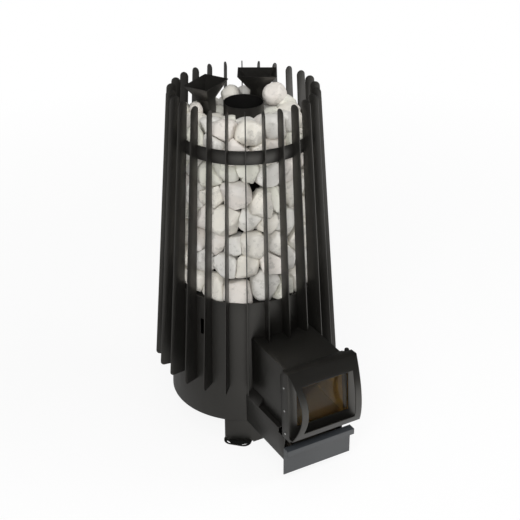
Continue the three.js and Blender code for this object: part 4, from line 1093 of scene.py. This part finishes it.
def bow_shape():
    shape = bmesh.new()
    columns = 2 * BOW_STRIP_COLUMNS + BOW_WINDOW_COLUMNS
    rows = sum(BOW_ROWS)
    bmesh.ops.create_grid(shape, x_segments=columns, y_segments=rows, size=0.5)
    crest = (BOW_FOOT_REACH + BOW_HEAD_REACH) / 2 + 2 * BOW_SAG
    half, low, high = BOW_WINDOW
    for vert in shape.verts:
        column = round((vert.co.x + 0.5) * columns)
        height = bow_height(round((vert.co.y + 0.5) * rows))
        share = (height - BOW_BOTTOM) / (BOW_TOP - BOW_BOTTOM)
        outer = LEAF_HALF - 4 * BOW_WAIST * share * (1 - share)
        along = min(max((height - low) / (high - low), 0), 1)
        inner = half - 4 * BOW_WINDOW_WAIST * along * (1 - along)
        side = column - columns / 2
        reach = abs(side) - BOW_WINDOW_COLUMNS / 2
        if reach > 0:
            across = inner + (outer - inner) * reach / BOW_STRIP_COLUMNS
        else:
            across = inner * abs(side) / (BOW_WINDOW_COLUMNS / 2)
        forward = quadratic(BOW_FOOT_REACH, crest, BOW_HEAD_REACH, share)
        vert.co = (math.copysign(across, side), -forward, height)
    gone = []
    for face in shape.faces:
        sides = [abs(vert.co.x) for vert in face.verts]
        level = low < face.calc_center_median().z < high
        if level and max(sides) < half + 0.1 and min(sides) < half - BOW_WINDOW_WAIST - 1:
            gone.append(face)
    bmesh.ops.delete(shape, geom=gone, context="FACES")
    head = [edge for edge in shape.edges if all(abs(vert.co.z - BOW_TOP) < 0.01 for vert in edge.verts)]
    foot = [edge for edge in shape.edges if all(abs(vert.co.z - BOW_BOTTOM) < 0.01 for vert in edge.verts)]
    extrude_edges(shape, head, (0, BOW_HEAD_REACH + LEAF_DEPTH - LEAF_CHAMFER, 0))
    extrude_edges(shape, foot, (0, BOW_FOOT_REACH - GAP, 0))
    thicken_sheet(shape, SHEET, (0, LEAF_DEPTH, 0))
    ease_edges(shape, 0.7)
    return shape


casing_piece("bowed_frame", bow_shape(), "door_bow", body=DOOR, place=DOOR_PLACE)

# Ash drawer: an open tray of thin steel that runs on the channel's floor, and a plain front plate whose
# top is folded forward and down to make a grip. The front is sprayed a lighter, bluish grey than the casing:
# painted light, standing in for the light and floor reflection that its front-facing plate catches.
DRAWER = "ash_drawer"
TRAY_HALF = 76
TRAY_FRONT = -424.1
TRAY_BACK = 85
TRAY_BOTTOM = 82.6
TRAY_TOP = 110
TRAY_WALL = 2
FRONT_HALF = 113.5
FRONT_BACK = -424.4
FRONT_BOTTOM = 29.6
FRONT_TOP = 124.8
LIP_REACH = -449
LIP_BOTTOM = 106
# Painted light: the front plate's paint is a lighter copy of the casing black, for the light its front
# catches.
DRAWER_LIT_GREY = sprayed_paint("drawer_grey_painted_light", (0.040, 0.045, 0.051), (0.055, 0.061, 0.068), 0.42, 0.95)

tray = bmesh.new()
add_block(tray, (-TRAY_HALF, TRAY_FRONT, TRAY_BOTTOM), (TRAY_HALF, TRAY_BACK, TRAY_TOP))
lid = [face for face in tray.faces if face.calc_center_median().z > TRAY_TOP - 1]
bmesh.ops.delete(tray, geom=lid, context="FACES_ONLY")
thicken_sheet(tray, TRAY_WALL, (0, (TRAY_FRONT + TRAY_BACK) / 2, TRAY_TOP))
ease_edges(tray, 0.5)
make_piece("ash_pan", tray, [BARE_STEEL], "bare_steel", ["ash_tray"], body=DRAWER)

front = bmesh.new()
fold = [(FRONT_BACK, FRONT_BOTTOM), (FRONT_BACK, FRONT_TOP), (LIP_REACH, FRONT_TOP), (LIP_REACH, LIP_BOTTOM)]
points = [front.verts.new((-FRONT_HALF, y, z)) for y, z in fold]
for pair in zip(points, points[1:]):
    front.edges.new(pair)
extrude_edges(front, front.edges[:], (2 * FRONT_HALF, 0, 0))
thicken_sheet(front, SHEET, (0, (FRONT_BACK + LIP_REACH) / 2, LIP_BOTTOM))
ease_edges(front, 0.8)
make_piece("ash_front", front, [DRAWER_LIT_GREY], "grey_paint", ["ash_drawer_front"], body=DRAWER)

# Studio: a white floor that runs out of sight under a dim ceiling. The floor shows white and keeps the
# stove's shadow. In mirrors it shows a painted pool of light, brightest in front and to the right and
# dim behind and to the left, which stands in for a floor lit from the front right.
FLOOR_SIZE = 14
FLOOR_SHADOW_SHARE = 0.12
PAINTED_POOL_SIDE = (0.5, -0.87)
FLOOR_DIM_MIRROR = 0.34
PAINTED_POOL_EDGE = (0.48, 0.9)
SHADOW_FADE = (0.08, 0.3)
HORIZON_BAND = (0.0, 0.3)
WHITE = (1.0, 1.0, 1.0, 1.0)
HORIZON_LIGHT = 0.5
CEILING_LIGHT = 0.2
HORIZON_MIRROR = 0.25
CEILING_MIRROR = 0.02


def ray_kinds(tree):
    """Shares of a ray: 1 if the camera sends it straight, 1 if it is mirrored or goes through glass."""
    path = Shade(tree).node("ShaderNodeLightPath", {}, {}, "Is Camera Ray").socket.node
    straight = Shade(tree, path.outputs["Is Camera Ray"])
    mirrored = Shade(tree, path.outputs["Is Glossy Ray"])
    through = Shade(tree, path.outputs["Is Transmission Ray"])
    return straight, mirrored.maths("MAXIMUM", mirrored, through)


def show_white(tree, kind, lit, share, strength, output):
    white = tree.nodes.new(kind)
    white.inputs["Color"].default_value = WHITE
    strength.feeds(white, "Strength")
    sockets = {0: share, 1: Shade(tree, lit.outputs[0]), 2: Shade(tree, white.outputs[0])}
    mixed = share.node("ShaderNodeMixShader", {}, sockets)
    tree.links.new(mixed.socket, tree.nodes[output].inputs["Surface"])


floor_shape = bmesh.new()
bmesh.ops.create_grid(floor_shape, x_segments=1, y_segments=1, size=FLOOR_SIZE / 2)
floor_mesh = bpy.data.meshes.new("studio_floor")
floor_shape.to_mesh(floor_mesh)
floor_shape.free()
floor_paint = bpy.data.materials.new("studio_white")
floor_paint.use_nodes = True
floor_tree = floor_paint.node_tree
floor_shader = floor_tree.nodes["Principled BSDF"]
floor_shader.inputs["Base Color"].default_value = (0.95, 0.95, 0.95, 1.0)
floor_shader.inputs["Roughness"].default_value = 0.9
floor_shader.inputs["Specular IOR Level"].default_value = 0.0
straight, mirrored = ray_kinds(floor_tree)
spot = Shade(floor_tree).node("ShaderNodeTexCoord", {}, {}, "Object")
east = spot.node("ShaderNodeSeparateXYZ", {}, {0: spot}, "X")
north = spot.node("ShaderNodeSeparateXYZ", {}, {0: spot}, "Y")
# Painted pool of light: for mirrored rays the floor's white grows brighter towards the front right.
forward = east * PAINTED_POOL_SIDE[0] + north * PAINTED_POOL_SIDE[1]
painted_light_pool = (forward * 0.5 + 0.5).between(*PAINTED_POOL_EDGE)
strength = straight + mirrored * (painted_light_pool * (1 - FLOOR_DIM_MIRROR) + FLOOR_DIM_MIRROR)
distance = spot.node("ShaderNodeVectorMath", {"operation": "LENGTH"}, {0: spot}, "Value")
near_stove = 1 - (distance * 0.1).between(*SHADOW_FADE)
shown = straight * (1 - near_stove * FLOOR_SHADOW_SHARE) + mirrored
show_white(floor_tree, "ShaderNodeEmission", floor_shader, shown, strength, "Material Output")
floor_mesh.materials.append(floor_paint)
studio_floor = bpy.data.objects.new("studio_floor", floor_mesh)
bpy.context.collection.objects.link(studio_floor)

scene = bpy.context.scene
world = bpy.data.worlds.new("studio_world")
scene.world = world
world.use_nodes = True
world_tree = world.node_tree
world_light = world_tree.nodes["Background"]
world_light.inputs["Color"].default_value = WHITE
straight, mirrored = ray_kinds(world_tree)
direction = Shade(world_tree).node("ShaderNodeTexCoord", {}, {}, "Generated")
height = direction.node("ShaderNodeSeparateXYZ", {}, {0: direction}, "Z")
near_horizon = 1 - height.between(*HORIZON_BAND)
(near_horizon * (HORIZON_LIGHT - CEILING_LIGHT) + CEILING_LIGHT).feeds(world_light, "Strength")
strength = straight + mirrored * (near_horizon * (HORIZON_MIRROR - CEILING_MIRROR) + CEILING_MIRROR)
show_white(world_tree, "ShaderNodeBackground", world_light, straight + mirrored, strength, "World Output")


def soft_lamp(name, place, aim, size, power):
    data = bpy.data.lights.new(name, "AREA")
    data.shape = "RECTANGLE"
    data.size, data.size_y = size
    data.energy = power
    lamp = bpy.data.objects.new(name, data)
    lamp.location = place
    lamp.visible_glossy = False
    lamp.rotation_euler = (Vector(aim) - Vector(place)).to_track_quat("-Z", "Y").to_euler()
    bpy.context.collection.objects.link(lamp)


soft_lamp("camera_softbox", (-2.0, -2.6, 2.5), (0, 0, 0.5), (2.0, 2.0), 104)
soft_lamp("right_softbox", (2.6, -1.6, 1.8), (0, 0, 0.5), (1.6, 1.6), 38)
soft_lamp("top_softbox", (0, -0.5, 3.4), (0, 0, 0.8), (2.4, 2.4), 32)

# Camera: a long lens in front of the stove and to the left of its door. It stands over two metres up and
# looks down on the stove.
CAMERA_PLACE = (-1.56362, -2.74374, 2.29087)
CAMERA_FORWARD = (0.43156, 0.76343, -0.48055)
CAMERA_ROLL = -0.00373
CAMERA_LENS = 85.047
CAMERA_SENSOR = 36
camera_data = bpy.data.cameras.new("camera")
camera_data.sensor_width = CAMERA_SENSOR
camera_data.sensor_height = CAMERA_SENSOR
camera_data.sensor_fit = "HORIZONTAL"
camera_data.lens = CAMERA_LENS
camera = bpy.data.objects.new("camera", camera_data)
look = Vector(CAMERA_FORWARD).to_track_quat("-Z", "Y").to_matrix().to_4x4()
camera.matrix_world = Matrix.Translation(CAMERA_PLACE) @ look @ Matrix.Rotation(CAMERA_ROLL, 4, "Z")
bpy.context.collection.objects.link(camera)
scene.camera = camera
scene.view_settings.view_transform = "Standard"
